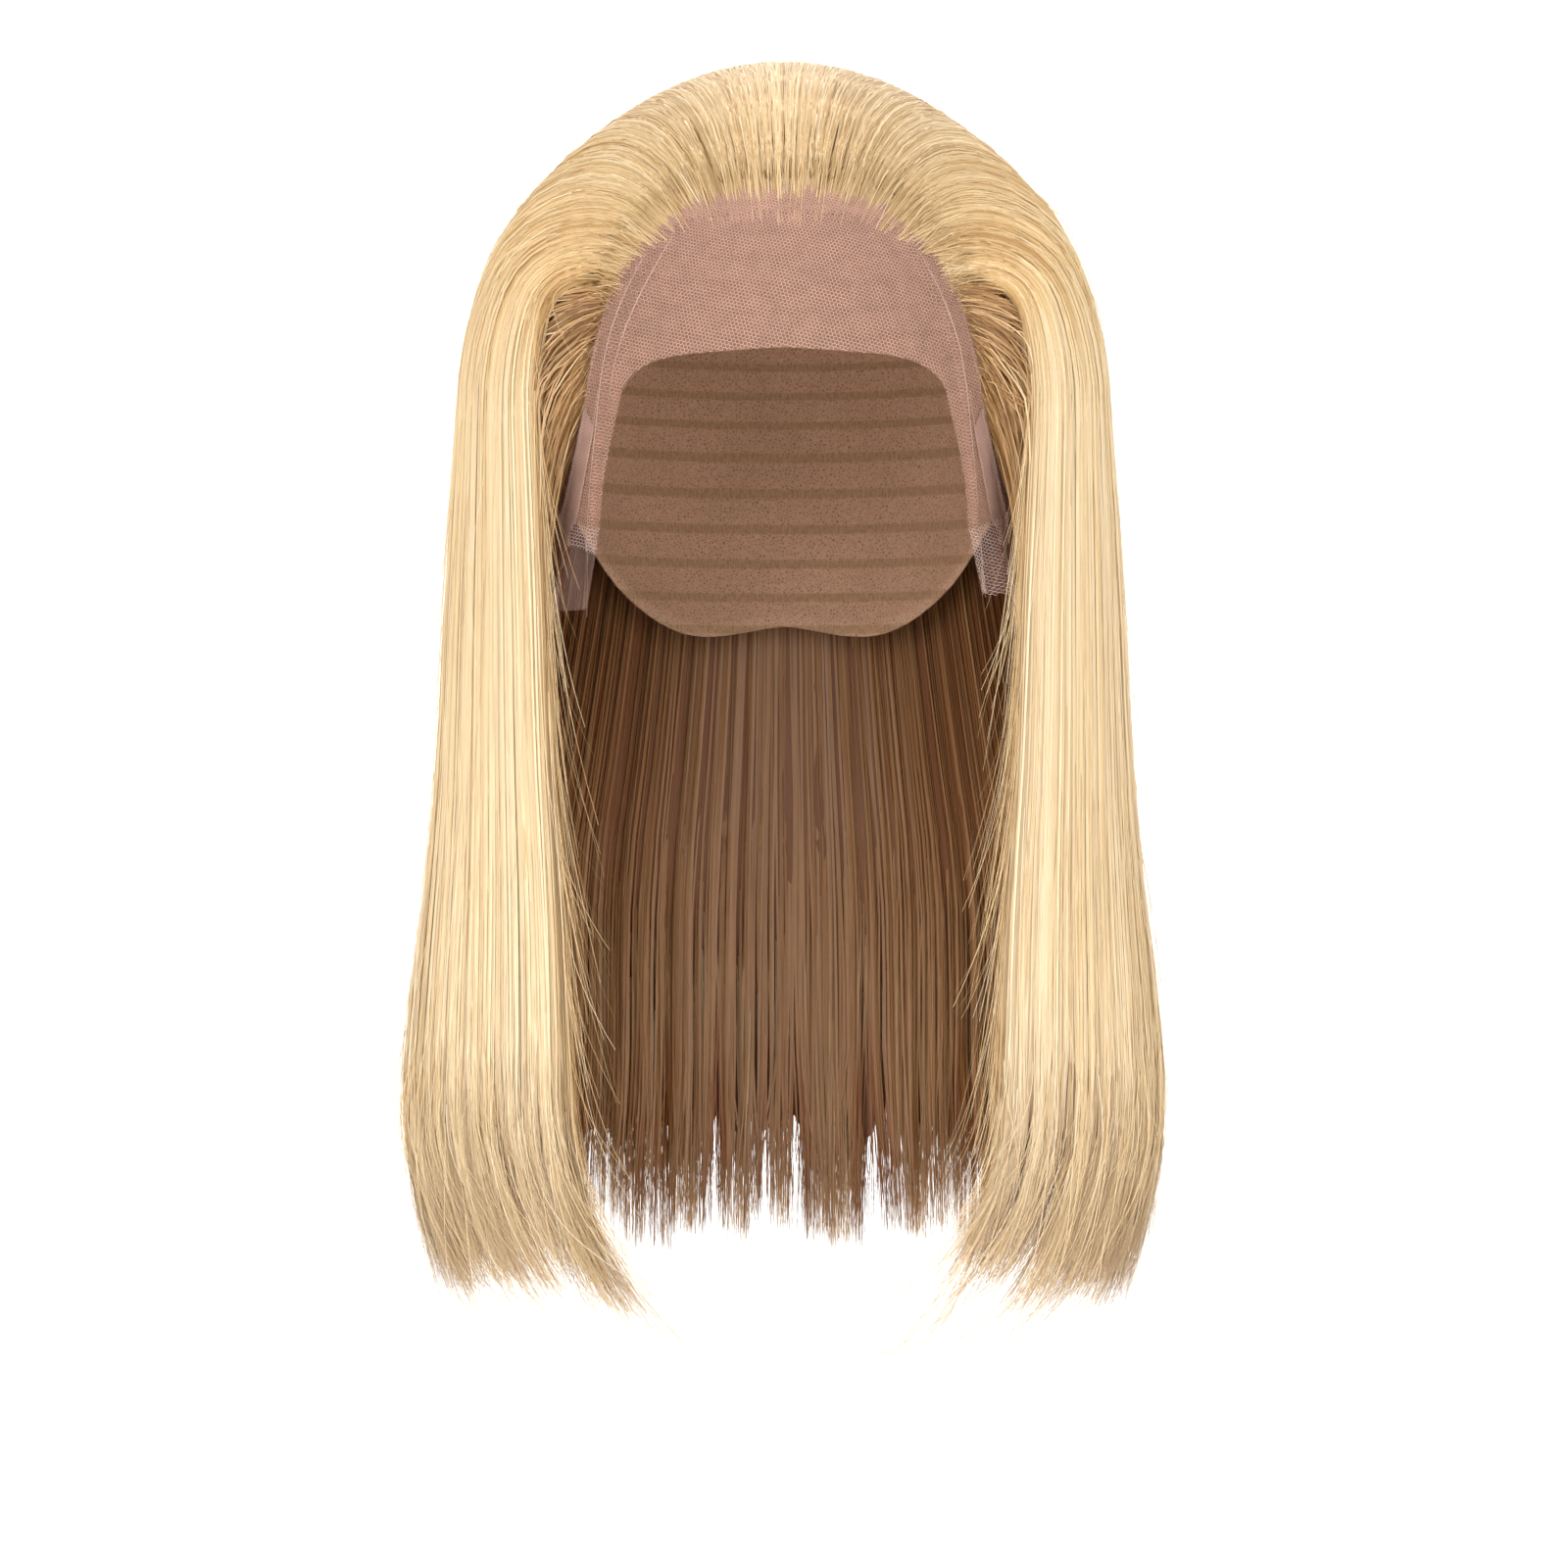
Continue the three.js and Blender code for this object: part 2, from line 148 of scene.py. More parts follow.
def head_point(turn, tilt, lift):
    """A point on the head, or lift outside it."""
    reach = np.sin(tilt)
    depth = np.where(np.cos(turn) > 0, HEAD_FRONT, HEAD_BACK)
    height = np.where(np.cos(tilt) > 0, CROWN, LOWER)
    return stack(
        (HEAD_SIDE + lift) * reach * np.sin(turn),
        -(depth + lift) * reach * np.cos(turn),
        -CROWN + (height + lift) * np.cos(tilt),
    )


def tilt_at(drop):
    above = CROWN - drop
    return np.arccos(np.clip(above / np.where(above > 0, CROWN, LOWER), -1, 1))


def plan_at(rise, layer):
    """The hair's outline from above at one height: layer 0 is its inside and 1 its outside."""
    head = {"side": HEAD_SIDE, "front": HEAD_FRONT, "back": HEAD_BACK}
    down = np.clip(-rise / FALL, 0, 1)

    def at(column):
        return value_at(FALL_ROWS[:, 0], FALL_ROWS[:, FALL_COLUMN[column]], down)

    narrow = np.sqrt(np.clip(1 - (np.minimum(rise, 0) / LOWER) ** 2, 0, 1))
    wall_below = lerp(FALL_WALL, TIP_WALL, smooth(down, THIN_FROM, 1))
    plan = {"gap": lerp(TEMPLE_GAP, CHEST_GAP, at("gap"))}
    for axis in ("side", "front", "back"):
        inner = head[axis] + OFF_CAP
        outside = lerp(inner + DEEP[axis], FULL[axis], at(axis))
        wall = lerp(DEEP[axis], wall_below, at("wall"))
        plan[axis] = lerp(np.maximum(outside - wall, inner * narrow), outside, layer)
    return plan


def hair_point(turn, rise, layer, lift=0.0):
    plan = plan_at(rise, layer)
    depth = np.where(np.cos(turn) > 0, plan["front"], plan["back"])
    up = np.clip(rise / CROWN, 0, 1)
    reach = np.sqrt(1 - up * up)
    high = CROWN + OFF_CAP + DEEP_TOP * layer + lift
    return stack(
        (plan["side"] + lift) * reach * np.sin(turn),
        -(depth + lift) * reach * np.cos(turn),
        -CROWN + np.where(rise > 0, high * up, rise),
    )


def fall_turn(spread, rise, layer, lift=0.0):
    """Turn of the falling hair: spread 0 is the middle of the back and 1 the curtains' front edges."""
    plan = plan_at(rise, layer)
    front = np.arcsin(np.minimum(plan["gap"] / (plan["side"] + lift), 1))
    return lerp(np.pi, front, np.abs(spread)) * np.where(spread < 0, -1.0, 1.0)


def direction(turn, up):
    reach = np.sqrt(np.clip(1 - up * up, 0, 1))
    return stack(reach * np.sin(turn), -reach * np.cos(turn), up)


def grown_at(along):
    return lerp(ROOT_SHARE, 1.0, smooth(along / ON_HEAD, 0, 0.65))


def room_at(spread, rise):
    """How far the temple's own hair pushes the front hair out."""
    above = 1 - smooth(rise, 0.25 * CROWN, 0.62 * CROWN)
    below = smooth(rise, -1.05 * TEMPLE_DROP, -0.6 * TEMPLE_DROP)
    return UNDERLAY * above * below * smooth(np.abs(spread), PARTING, TEMPLE_BACK - 0.03)


def layer_point(spread, along, layer, raised, root_drop=0.0):
    """A strand on one layer: layer 0 lies on the cap and 1 is the outside."""
    down = FALL * np.clip(along - ON_HEAD, 0, None) / (1 - ON_HEAD)
    s = np.clip(along / ON_HEAD, 0, 1)
    grown = grown_at(along) * (1.0 if raised else 0.0)
    root_turn = HAIRLINE_TURN * spread
    bend = np.radians(lerp(CROWN_RISE, FRONT_RISE, np.abs(spread) ** RISE_FADE))
    end_turn = fall_turn(spread, np.zeros_like(s), layer, room_at(spread, 0.0) * grown)
    root_up = 1 - (rim_drop(root_turn) + root_drop) / CROWN
    way = direction(np.radians(root_turn), root_up) * ((1 - s) ** 2)[..., None]
    way = way + direction(end_turn, np.sin(bend)) * (2 * s * (1 - s))[..., None]
    way = way + direction(end_turn, 0 * s) * (s * s)[..., None]
    way = unit(way)
    rise = np.where(down > 0, -down, CROWN * way[..., 2])
    lift = room_at(spread, rise) * grown
    turn = np.where(down > 0, fall_turn(spread, rise, layer, lift), np.arctan2(way[..., 0], -way[..., 1]))
    near_root = -ROOT_SINK * (1 - smooth(s, 0, 0.07))
    return hair_point(turn, rise, layer, lift + np.where(down > 0, 0, near_root))


def strand_point(spread, along, depth, in_front, root_drop=0.0, curl=1.0, over=0.0):
    """Depth 0 is the inside of the hair and 1 its outside; over is in millimetres beyond that."""
    spread, along, depth = np.broadcast_arrays(spread, along, depth)
    full = layer_point(spread, along, 1.0, False, root_drop)
    base = layer_point(spread, along, 0.0, False, root_drop)
    outer = lerp(base, full, grown_at(along)[..., None])
    inner = layer_point(spread, along, 0.0, True, root_drop) if in_front else base
    deep = outer - inner
    point = inner + deep * depth[..., None]
    out = unit(deep)
    point = point + out * np.asarray(over)[..., None]
    down = -CROWN - point[..., 2]
    push = smooth(down, SHOULDER_DROP, SHOULDER_DROP + SHOULDER_SLOPE)
    x, y = point[..., 0], point[..., 1]
    if in_front:
        k = np.clip(down - (FALL - CURL_LENGTH), 0, None) / CURL_LENGTH
        y = y - SHOULDER_FRONT * push * np.exp(-(DEEP["back"] - y) / SHOULDER_FADE)
        x = x - np.where(spread < 0, -1, 1) * CURL * curl * k * k
    else:
        y = y + SHOULDER_BACK * push * np.exp(-(y - DEEP["back"]) / SHOULDER_FADE)
        x = x - TUCK * push * x / FULL["side"]
    return stack(x, y, point[..., 2]), out


def temple_point(side, root, along, depth, root_drop=0.0, jag=0.0, steep=0.0):
    """A place in the temple's hair: root 0 is its lowest and 1 the hairline's corner."""
    root_turn = lerp(TEMPLE_TURN, HAIRLINE_TURN + 0.5, root)
    root_rise = CROWN - rim_drop(root_turn) + 0.3 - root_drop
    steep = steep * (1 - np.clip(root, 0, 1) ** 2)
    rise = lerp(root_rise, -TEMPLE_DROP * (1 - jag), along ** lerp(lerp(1.2, 1.9, root), 0.95, steep))
    spread = lerp(TEMPLE_FRONT, TEMPLE_BACK, root)
    turn = lerp(np.radians(root_turn), fall_turn(spread, rise, 0.0), smooth(along, 0, lerp(0.5, 0.8, steep)))
    thick = TEMPLE_DEPTH * lerp(0.16, 1, smooth(along, 0, 0.3)) * lerp(1, 0.4, smooth(along, 0.8, 1))
    near_root = -TEMPLE_SINK * (1 - smooth(along, 0, 0.06))
    return hair_point(side * turn, rise, 0.0, thick * depth + near_root)


# Meshes
def link(obj):
    bpy.context.scene.collection.objects.link(obj)
    return obj


def mesh_object(name, points, faces, material, colors=None, uvs=None, uv_name="OFBake", smooth_shade=True):
    """A mesh object from points in millimetres and an array of quads or triangles."""
    points = np.asarray(points, dtype=np.float64).reshape(-1, 3) * 0.001
    faces = np.asarray(faces, dtype=np.int32)
    mesh = bpy.data.meshes.new(name)
    mesh.vertices.add(len(points))
    mesh.vertices.foreach_set("co", points.astype(np.float32).ravel())
    corners = faces.shape[1]
    mesh.loops.add(faces.size)
    mesh.loops.foreach_set("vertex_index", faces.ravel())
    mesh.polygons.add(len(faces))
    mesh.polygons.foreach_set("loop_start", np.arange(0, faces.size, corners, dtype=np.int32))
    mesh.polygons.foreach_set("use_smooth", np.full(len(faces), smooth_shade))
    if colors is not None:
        layer = mesh.color_attributes.new("hair", "FLOAT_COLOR", "POINT")
        rgba = np.ones((len(points), 4), dtype=np.float32)
        rgba[:, :3] = np.asarray(colors, dtype=np.float32).reshape(-1, 3)
        layer.data.foreach_set("color", rgba.ravel())
    if uvs is not None:
        layer = mesh.uv_layers.new(name=uv_name)
        flat = np.asarray(uvs, dtype=np.float32).reshape(-1, 2)[faces.ravel()]
        layer.data.foreach_set("uv", flat.ravel())
    mesh.update(calc_edges=True)
    mesh.validate()
    mesh.materials.append(material)
    return link(bpy.data.objects.new(name, mesh))


def ribbon_object(name, path, out, half_width, material, colors, turn=0.0, rows=8):
    """Thin flat hairs along the rows of path, turned by turn, with UVs side by side in rows."""
    count, steps = path.shape[:2]
    along = unit(np.gradient(path, axis=1))
    side = unit(np.cross(along, out))
    turn = np.asarray(turn)[..., None]
    side = side * np.cos(turn) + np.cross(side, along) * np.sin(turn)
    wide = (half_width + 0 * path[..., 0])[..., None]
    points = np.stack([path - side * wide, path + side * wide], axis=2)
    index = np.arange(count * steps * 2).reshape(count, steps, 2)
    faces = np.stack([index[:, :-1, 0], index[:, :-1, 1], index[:, 1:, 1], index[:, 1:, 0]], axis=-1)
    colors = np.repeat(np.broadcast_to(colors, (count, steps, 3))[:, :, None, :], 2, axis=2)
    per_row = math.ceil(count / rows)
    cell = np.arange(count)
    u = ((cell % per_row)[:, None, None] + np.array([0.1, 0.9])[None, None, :]) / per_row
    v = ((cell // per_row)[:, None, None] + np.linspace(0.02, 0.98, steps)[None, :, None]) / rows
    uvs = stack(u, v)
    return mesh_object(name, points, faces.reshape(-1, 4), material, colors, uvs)


def grid_faces(index):
    """Quads between the neighbours in a grid of point numbers."""
    return np.stack([index[:-1, :-1], index[1:, :-1], index[1:, 1:], index[:-1, 1:]], -1).reshape(-1, 4)


def shell_object(name, front, back, material, colors, streaks):
    """A closed body between two grids of points."""
    half = front.shape[0] * front.shape[1]
    index = np.arange(half).reshape(front.shape[:2])
    quads = grid_faces(index)
    faces = [quads, quads[:, [0, 3, 2, 1]] + half]
    for edge in (index[0], index[-1, ::-1], index[::-1, 0], index[:, -1]):
        faces.append(np.stack([edge[:-1], edge[1:], edge[1:] + half, edge[:-1] + half], -1))
    points = np.concatenate([front.reshape(-1, 3), back.reshape(-1, 3)])
    uvs = np.concatenate([streaks.reshape(-1, 2), streaks.reshape(-1, 2)])
    return mesh_object(name, points, np.concatenate(faces), material, colors, uvs, "strands")


# Materials
WHITE, BLACK = (1.0, 1.0, 1.0), (0.0, 0.0, 0.0)


def new_material(name):
    material = bpy.data.materials.new(name)
    material.use_nodes = True
    tree = material.node_tree
    return material, tree, tree.nodes["Principled BSDF"]


def feed(tree, made, inputs):
    """Each input gets a link from a socket, or a value."""
    for key, value in inputs.items():
        if isinstance(value, bpy.types.NodeSocket):
            tree.links.new(value, made.inputs[key])
        else:
            made.inputs[key].default_value = value


def node(tree, kind, inputs, **settings):
    made = tree.nodes.new("ShaderNode" + kind)
    for key, value in settings.items():
        setattr(made, key, value)
    feed(tree, made, inputs)
    return made


def ramp(tree, source, stops):
    made = node(tree, "ValToRGB", {0: source})
    elements = made.color_ramp.elements
    while len(elements) < len(stops):
        elements.new(0.5)
    for element, (place, color) in zip(elements, stops):
        element.position = place
        element.color = (*color, 1)
    return made.outputs[0]


def mix(tree, factor, a, b, blend="MIX"):
    inputs = {0: factor, 6: a, 7: b}
    return node(tree, "Mix", inputs, data_type="RGBA", blend_type=blend).outputs[2]


def in_object(tree):
    return node(tree, "TexCoord", {}).outputs["Object"]


def along_strands(tree):
    return node(tree, "UVMap", {}, uv_map="strands").outputs[0]


def stretched(tree, place, scale):
    return node(tree, "Mapping", {0: place, "Scale": scale}).outputs[0]


def noise_at(tree, place, scale, detail):
    return node(tree, "TexNoise", {0: place, "Scale": scale, "Detail": detail}).outputs[0]


def bump(tree, height, strength, distance, invert=False):
    inputs = {"Height": height, "Strength": strength, "Distance": distance}
    return node(tree, "Bump", inputs, invert=invert).outputs[0]


def hair_material(name, tones, shade, streaked):
    """Colour from each hair's own values: red is its tint, green its place along, blue how lit."""
    material, tree, shader = new_material(name)
    values = node(tree, "VertexColor", {}, layer_name="hair").outputs[0]
    tint, along, how_lit = node(tree, "SeparateColor", {0: values}).outputs
    if streaked:
        place = along_strands(tree)
    else:
        place = node(tree, "CombineXYZ", {0: tint, 1: along}).outputs[0]
        place = stretched(tree, place, (160, 30, 1))
    noise = noise_at(tree, place, 1.0, 3.0)
    base = ramp(tree, tint, list(zip((0.0, 0.3, 0.6, 1.0), tones)))
    grain = ramp(tree, noise, [(0.3, (0.74, 0.7, 0.62)), (0.7, WHITE)])
    color = mix(tree, 0.7 if streaked else 0.45, base, grain, "MULTIPLY")
    color = mix(tree, 1.0, color, ramp(tree, how_lit, [(0.0, shade), (1.0, WHITE)]), "MULTIPLY")
    rough = node(tree, "MapRange", {0: noise, "To Min": 0.4, "To Max": 0.56}).outputs[0]
    feed(tree, shader, {"Base Color": color, "Roughness": rough, "Specular IOR Level": 0.45})
    if streaked:
        feed(tree, shader, {"Normal": bump(tree, noise, 0.5, 0.0006)})
    return material


# from the darkest tint to the palest, and the painted shade that the deepest hair is multiplied by; the
# temple's palette is the same hair made darker, as painted shade under the curtains
BLONDE = ((0.38, 0.2, 0.065), (0.62, 0.4, 0.17), (0.8, 0.6, 0.335), (0.91, 0.775, 0.56))
SHADED_GOLDEN = ((0.2, 0.085, 0.024), (0.35, 0.18, 0.064), (0.55, 0.32, 0.135), (0.92, 0.7, 0.42))
SHADE = (0.25, 0.1, 0.028)
blonde = hair_material("blonde_hair", BLONDE, SHADE, False)
blonde_mass = hair_material("blonde_hair_mass", BLONDE, SHADE, True)
shaded_golden = hair_material("temple_hair", SHADED_GOLDEN, SHADE, False)
shaded_golden_mass = hair_material("temple_hair_mass", SHADED_GOLDEN, SHADE, True)


def lace_material(name, color, see_through):
    material, tree, shader = new_material(name)
    darker = tuple(0.8 * c for c in color)
    tone = ramp(tree, noise_at(tree, in_object(tree), 180.0, 4.0), [(0.3, darker), (0.7, color)])
    feed(tree, shader, {"Base Color": tone, "Roughness": 0.75, "Alpha": see_through})
    return material


thread = lace_material("lace_thread", (0.55, 0.325, 0.25), 1.0)
# Painted highlight: the ridges along the creases and the tails' folded edges are lighter than the lace.
fold_highlight = lace_material("lace_fold_highlight", (0.68, 0.47, 0.39), 0.5)
film = lace_material("lace_film", (0.5, 0.275, 0.205), 0.34)
folded_film = lace_material("lace_folded_film", (0.62, 0.42, 0.36), 0.6)
thin_film = lace_material("lace_thin_film", (0.6, 0.4, 0.34), 0.2)
tail_thread = lace_material("lace_tail_thread", (0.72, 0.54, 0.48), 1.0)


def cap_material():
    """Stretch net, with a darker band and its stitches along each row of sewn hair."""
    material, tree, shader = new_material("cap_net")
    place, where = in_object(tree), along_strands(tree)
    inputs = {"Vector": place, "Scale": 950.0}
    cells = node(tree, "TexVoronoi", inputs, feature="DISTANCE_TO_EDGE")
    to_edge = cells.outputs["Distance"]
    net = ramp(tree, to_edge, [(0.03, (0.56, 0.34, 0.22)), (0.45, (0.27, 0.145, 0.085))])
    tone = ramp(tree, noise_at(tree, place, 28.0, 3.0), [(0.35, (0.88, 0.87, 0.86)), (0.65, WHITE)])
    from_crown = node(tree, "SeparateXYZ", {0: where}).outputs[1]
    in_row = node(tree, "Math", {0: from_crown}, operation="FRACT").outputs[0]
    row_stops = [(0.0, WHITE), (0.1, WHITE), (0.16, BLACK), (0.84, BLACK), (0.9, WHITE), (1.0, WHITE)]
    row = ramp(tree, in_row, row_stops)
    sewn = node(tree, "Math", {0: row, 1: 0.7}, operation="MULTIPLY").outputs[0]
    stitches = noise_at(tree, stretched(tree, where, (16.0, 3.0, 1.0)), 1.0, 2.0)
    track = ramp(tree, stitches, [(0.38, (0.25, 0.14, 0.07)), (0.62, (0.4, 0.245, 0.125))])
    color = mix(tree, sewn, mix(tree, 1.0, net, tone, "MULTIPLY"), track)
    relief = bump(tree, to_edge, 0.7, 0.0004, invert=True)
    feed(tree, shader, {"Base Color": color, "Roughness": 0.85, "Normal": relief})
    return material


cap_net = cap_material()

# Hair
rng = np.random.default_rng(613)
# share of the spread over which a curtain's free edge is rounded
ROUND = 0.045
# locks in a unit of spread and what is added to the seed: at the roots, then wide, middling and fine
LOCK_SCALES = ((30, 3), (21, 0), (66, 1), (210, 2))
LOCK_REACH = 1.1
Lock = namedtuple("Lock", "middle off own")
# shares of the strands that start ahead of the hairline, splay at their ends, stray, and are darker
AHEAD, SPLAYED, STRAYING, DARKER = 0.035, 0.15, 0.05, 0.07
# shares of the way to a lock's middle by which strands are drawn: in fine locks, and at the roots
HOLD_FINE, HOLD_ROOTS = 0.35, 0.36
# how far strands lie off their own course: anyhow, splayed, at the roots, waving and straying
UNEVEN, SPLAY, CROSSING, WAVE, STRAY = 0.004, 0.018, 0.018, 0.0016, 0.005
# short fine hairs at the hairline, and hairs at the edges where the hair parts over the shoulders
HAIRLINE = {"widths": (0.08, 0.17), "steps": 7, "length": 0.17, "painted_highlight": 0.1}
PARTED = {"start": 0.64, "steps": 11, "shade_deep": 0.3}
HAIRLINE_DEPTH, INSIDE_DEPTH = (0.9, 1.1), (0.0, 0.12)


def some(count, low, high):
    """A column of evenly drawn numbers, one for each strand."""
    return rng.uniform(low, high, (count, 1))


def about(count, middle, size):
    """A column of numbers drawn about a middle, one for each strand."""
    return rng.normal(middle, size, (count, 1))


def share_rows(steps, start=0.0):
    """Places along a strand, closer together where it bends."""
    ahead = max(int(steps * 0.52 * (1 - start / ON_HEAD)), 0)
    on = np.linspace(start, ON_HEAD, ahead, endpoint=False)
    left = np.linspace(1, 0, steps - ahead) ** 1.15
    begin = max(start, ON_HEAD)
    return np.concatenate([on, 1 - (1 - begin) * left])


def waves(count, steps, size, cycles):
    """A gentle wander of each strand, as an array of offsets."""
    t = np.linspace(0, 1, steps)[None, :]
    made = np.zeros((count, steps))
    for n in range(1, cycles + 1):
        phase = some(count, 0, 2 * np.pi)
        made += about(count, 0, size / n) * np.sin(2 * np.pi * n * 0.7 * t + phase)
    return made


def clumped(at, locks_per_unit, seed):
    """Middle of the lock each strand belongs to, its signed place in it, and the lock's own number."""
    local = np.random.default_rng(seed)
    count = int(2 * LOCK_REACH * locks_per_unit)
    edges = np.cumsum(np.concatenate([[0.0], local.gamma(3.0, 1.0, count)]))
    edges = -LOCK_REACH + 2 * LOCK_REACH * edges / edges[-1]
    which = np.clip(np.searchsorted(edges, at) - 1, 0, count - 1)
    middle = (edges[which] + edges[which + 1]) / 2
    half = (edges[which + 1] - edges[which]) / 2
    return Lock(middle, np.clip((at - middle) / half, -1.2, 1.2), local.uniform(0, 1, count)[which])


def keep(piece, slot, *nodes):
    """Ties a piece to the wig's one body, and hides the solids that it stands for."""
    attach(piece, "root")
    if nodes:
        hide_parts(*nodes)
    return piece


def end_of(wide_level, mid_level):
    """How far down each strand reaches, level by lock and then by strand."""
    level = 1.024 - 0.034 * wide_level - 0.016 * mid_level
    level = level - np.minimum(rng.exponential(0.02, level.shape), 0.14)
    return np.clip(level + 0.012 * (some(len(level), 0, 1) > 0.88), 0.8, 1.03)


def root_zone(along):
    """1 just past the hairline, where strands come out in small locks, and 0 elsewhere."""
    return smooth(along, 0.0, 0.014) * (1 - smooth(along, 0.025, 0.1))


def drawn_together(at, along, locks, gather):
    """The spread of each strand along its length, as its locks draw it together."""
    root, wide, mid, fine = locks
    spread = lerp(at, mid.middle, 0.06 + 0.2 * smooth(along, 0.3, 0.95))
    spread = lerp(spread, fine.middle, HOLD_FINE)
    spread = lerp(spread, root.middle, HOLD_ROOTS * root_zone(along))
    spread = lerp(spread, wide.middle, gather * smooth(along, 0.8, 1.0) ** 1.5)
    return lerp(spread, mid.middle, gather * smooth(along, 0.84, 1.0))


def strand_colors(at, depth, along, locks, lit, painted_highlight, shade_deep):
    """The strands' own values: their tint, their place along and how lit they are."""
    root, wide, mid, fine = locks
    count = len(at)
    falling = smooth(along, 0.22, 0.45)
    tint = 0.2 * (fine.own - 0.5) + 0.14 * (mid.own - 0.5) + 0.1 * (wide.own - 0.5) + about(count, 0, 0.12)
    tint = tint - 0.4 * (some(count, 0, 1) > 1 - DARKER)
    # Painted highlight: the falling hair is made lighter than the hair on the head, and more so on the
    # curtains.
    tint = tint * lerp(1.0, 0.5, falling) + 0.475 + (0.075 + painted_highlight) * falling
    arch = smooth(np.abs(at), 0.7, 0.86) * smooth(along, 0.01, 0.08) * (1 - smooth(along, 0.14, 0.34))
    tint -= 0.16 * arch
    tint = tint + 0.05 * smooth(along, 0.7, 0.85) - 0.1 * smooth(along, 0.86, 1.0)
    # Painted shade: less lit in the grooves between locks, most toward the tips, between the small locks at
    # the roots, and on the deeper strands.
    groove = 0.06 * mid.off**2 + 0.8 * np.abs(wide.off) ** 3 * smooth(along, 0.8, 0.96)
    groove += 0.45 * np.abs(mid.off) ** 3 * smooth(along, 0.82, 0.96)
    groove += 0.26 * root.off**2 * root_zone(along)
    groove += shade_deep * np.clip(1 - depth / 0.6, 0, 1) * smooth(along, 0.4, 0.56)
    return stack(np.clip(tint, 0, 1), along, np.clip(lit * (1 - groove), 0, 1))


def strands(name, places, in_front, solid, seed=5, lit=1.0, widths=(0.14, 0.34), start=0.0, steps=24,
            shade_deep=0.0, painted_highlight=0.0, relief=0.4, gather=0.5, length=1.0, taper=0.76):
    """Hairs gathered into locks, from their roots at the hairline, or from start, to their tips."""
    at, depth, facing = places
    count = len(at)
    rooted = start == 0.0
    locks = [clumped(at, per_unit, seed + added) for per_unit, added in LOCK_SCALES]
    _, wide, mid, _ = locks
    shares = share_rows(steps, start)[None, :]
    if length < 1.0:
        shares = np.linspace(0, 1, steps)[None, :] * (length * some(count, 0.6, 1.0))
    along = shares * lerp(1, end_of(wide.own, mid.own), smooth(shares, 0.5, 1))
    begin = ahead_by = np.zeros((count, 1))
    if rooted:
        ahead = some(count, 0, 1) < AHEAD
        begin = np.where(ahead, 0.0, 0.021 * np.sqrt(some(count, 0, 1)))
        ahead_by = np.where(ahead, 5.0 * some(count, 0, 1) ** 1.5, 0.0)
        along = begin + along * (1 - begin)
    from_root = along - begin

    spread = drawn_together(at, along, locks, gather)
    spread += waves(count, steps, WAVE, 3) * smooth(along, 0.0, 0.2)
    splayed = about(count, 0, UNEVEN) + about(count, 0, SPLAY) * (some(count, 0, 1) > 1 - SPLAYED)
    spread += splayed * smooth(along, 0.8, 1.0) ** 2
    if rooted:
        spread += about(count, 0, CROSSING) * (1 - smooth(from_root, 0.0, 0.04))
    stray = some(count, 0, 1) > 1 - STRAYING
    spread += stray * waves(count, steps, STRAY, 2) * smooth(along, 0.05, 0.4)

    sunk = 0.04 * mid.off**2 + 0.07 * wide.off**2
    deep = depth + waves(count, steps, 0.012, 3) - sunk * smooth(along, 0.08, 0.5) * (depth > 0.5)
    if not rooted:
        deep = lerp(deep, 0.4, 0.5 * (1 - smooth(shares - start, 0, 0.1)))
    curl = about(count, 1.12, 0.17) + 0.3 * (wide.own - 0.5)
    if in_front:
        curl -= 0.42 * (1 - smooth(np.abs(at), 0.66, 0.95))
    over = about(count, 0, 0.2) + stray * waves(count, steps, 0.9, 1)
    over *= smooth(from_root, 0.02, 0.3)
    if rooted:
        sink = 1.3 + 70 * begin + 0.3 * np.minimum(ahead_by, 1)
        over -= sink * (1 - smooth(from_root, 0.0, 0.02))
    path, out = strand_point(spread, along, np.clip(deep, 0.0, 1.02), in_front, ahead_by, curl, over)

    half = some(count, *widths) * lerp(0.4, 1, smooth(from_root, 0.0, 0.12))
    half *= lerp(1, 0.12, smooth(shares / length, taper, 1.0))
    colors = strand_colors(at, depth, along, locks, lit, painted_highlight, shade_deep)
    turn = about(count, 0, 0.2) - relief * (0.36 * mid.off + 0.2 * wide.off) + facing
    return keep(ribbon_object(f"{name}_strands", path, out, half, blonde, colors, turn), "hair", solid)


def outer(count, low, high, depth=(0.8, 1.0)):
    """Strands between two places round the head: where, how deep, and how far each is turned."""
    return some(count, low, high), some(count, *depth), 0.0


def rounded_edge(count, edge, toward):
    """The same round the free edge of a curtain, from its outer face to its inner one."""
    angle = some(count, 0, np.pi)
    inward = some(count, 0, 0.25) ** 1.5
    at = edge - toward * ROUND * (1 - np.sin(angle) * (1 - inward))
    depth = 0.5 + 0.48 * np.cos(angle) * (1 - inward)
    return at, depth, -toward * angle


def curtain(side, far):
    """The two ends of a front curtain as places round the head, the lesser one first."""
    return sorted((side * PARTING, side * far))


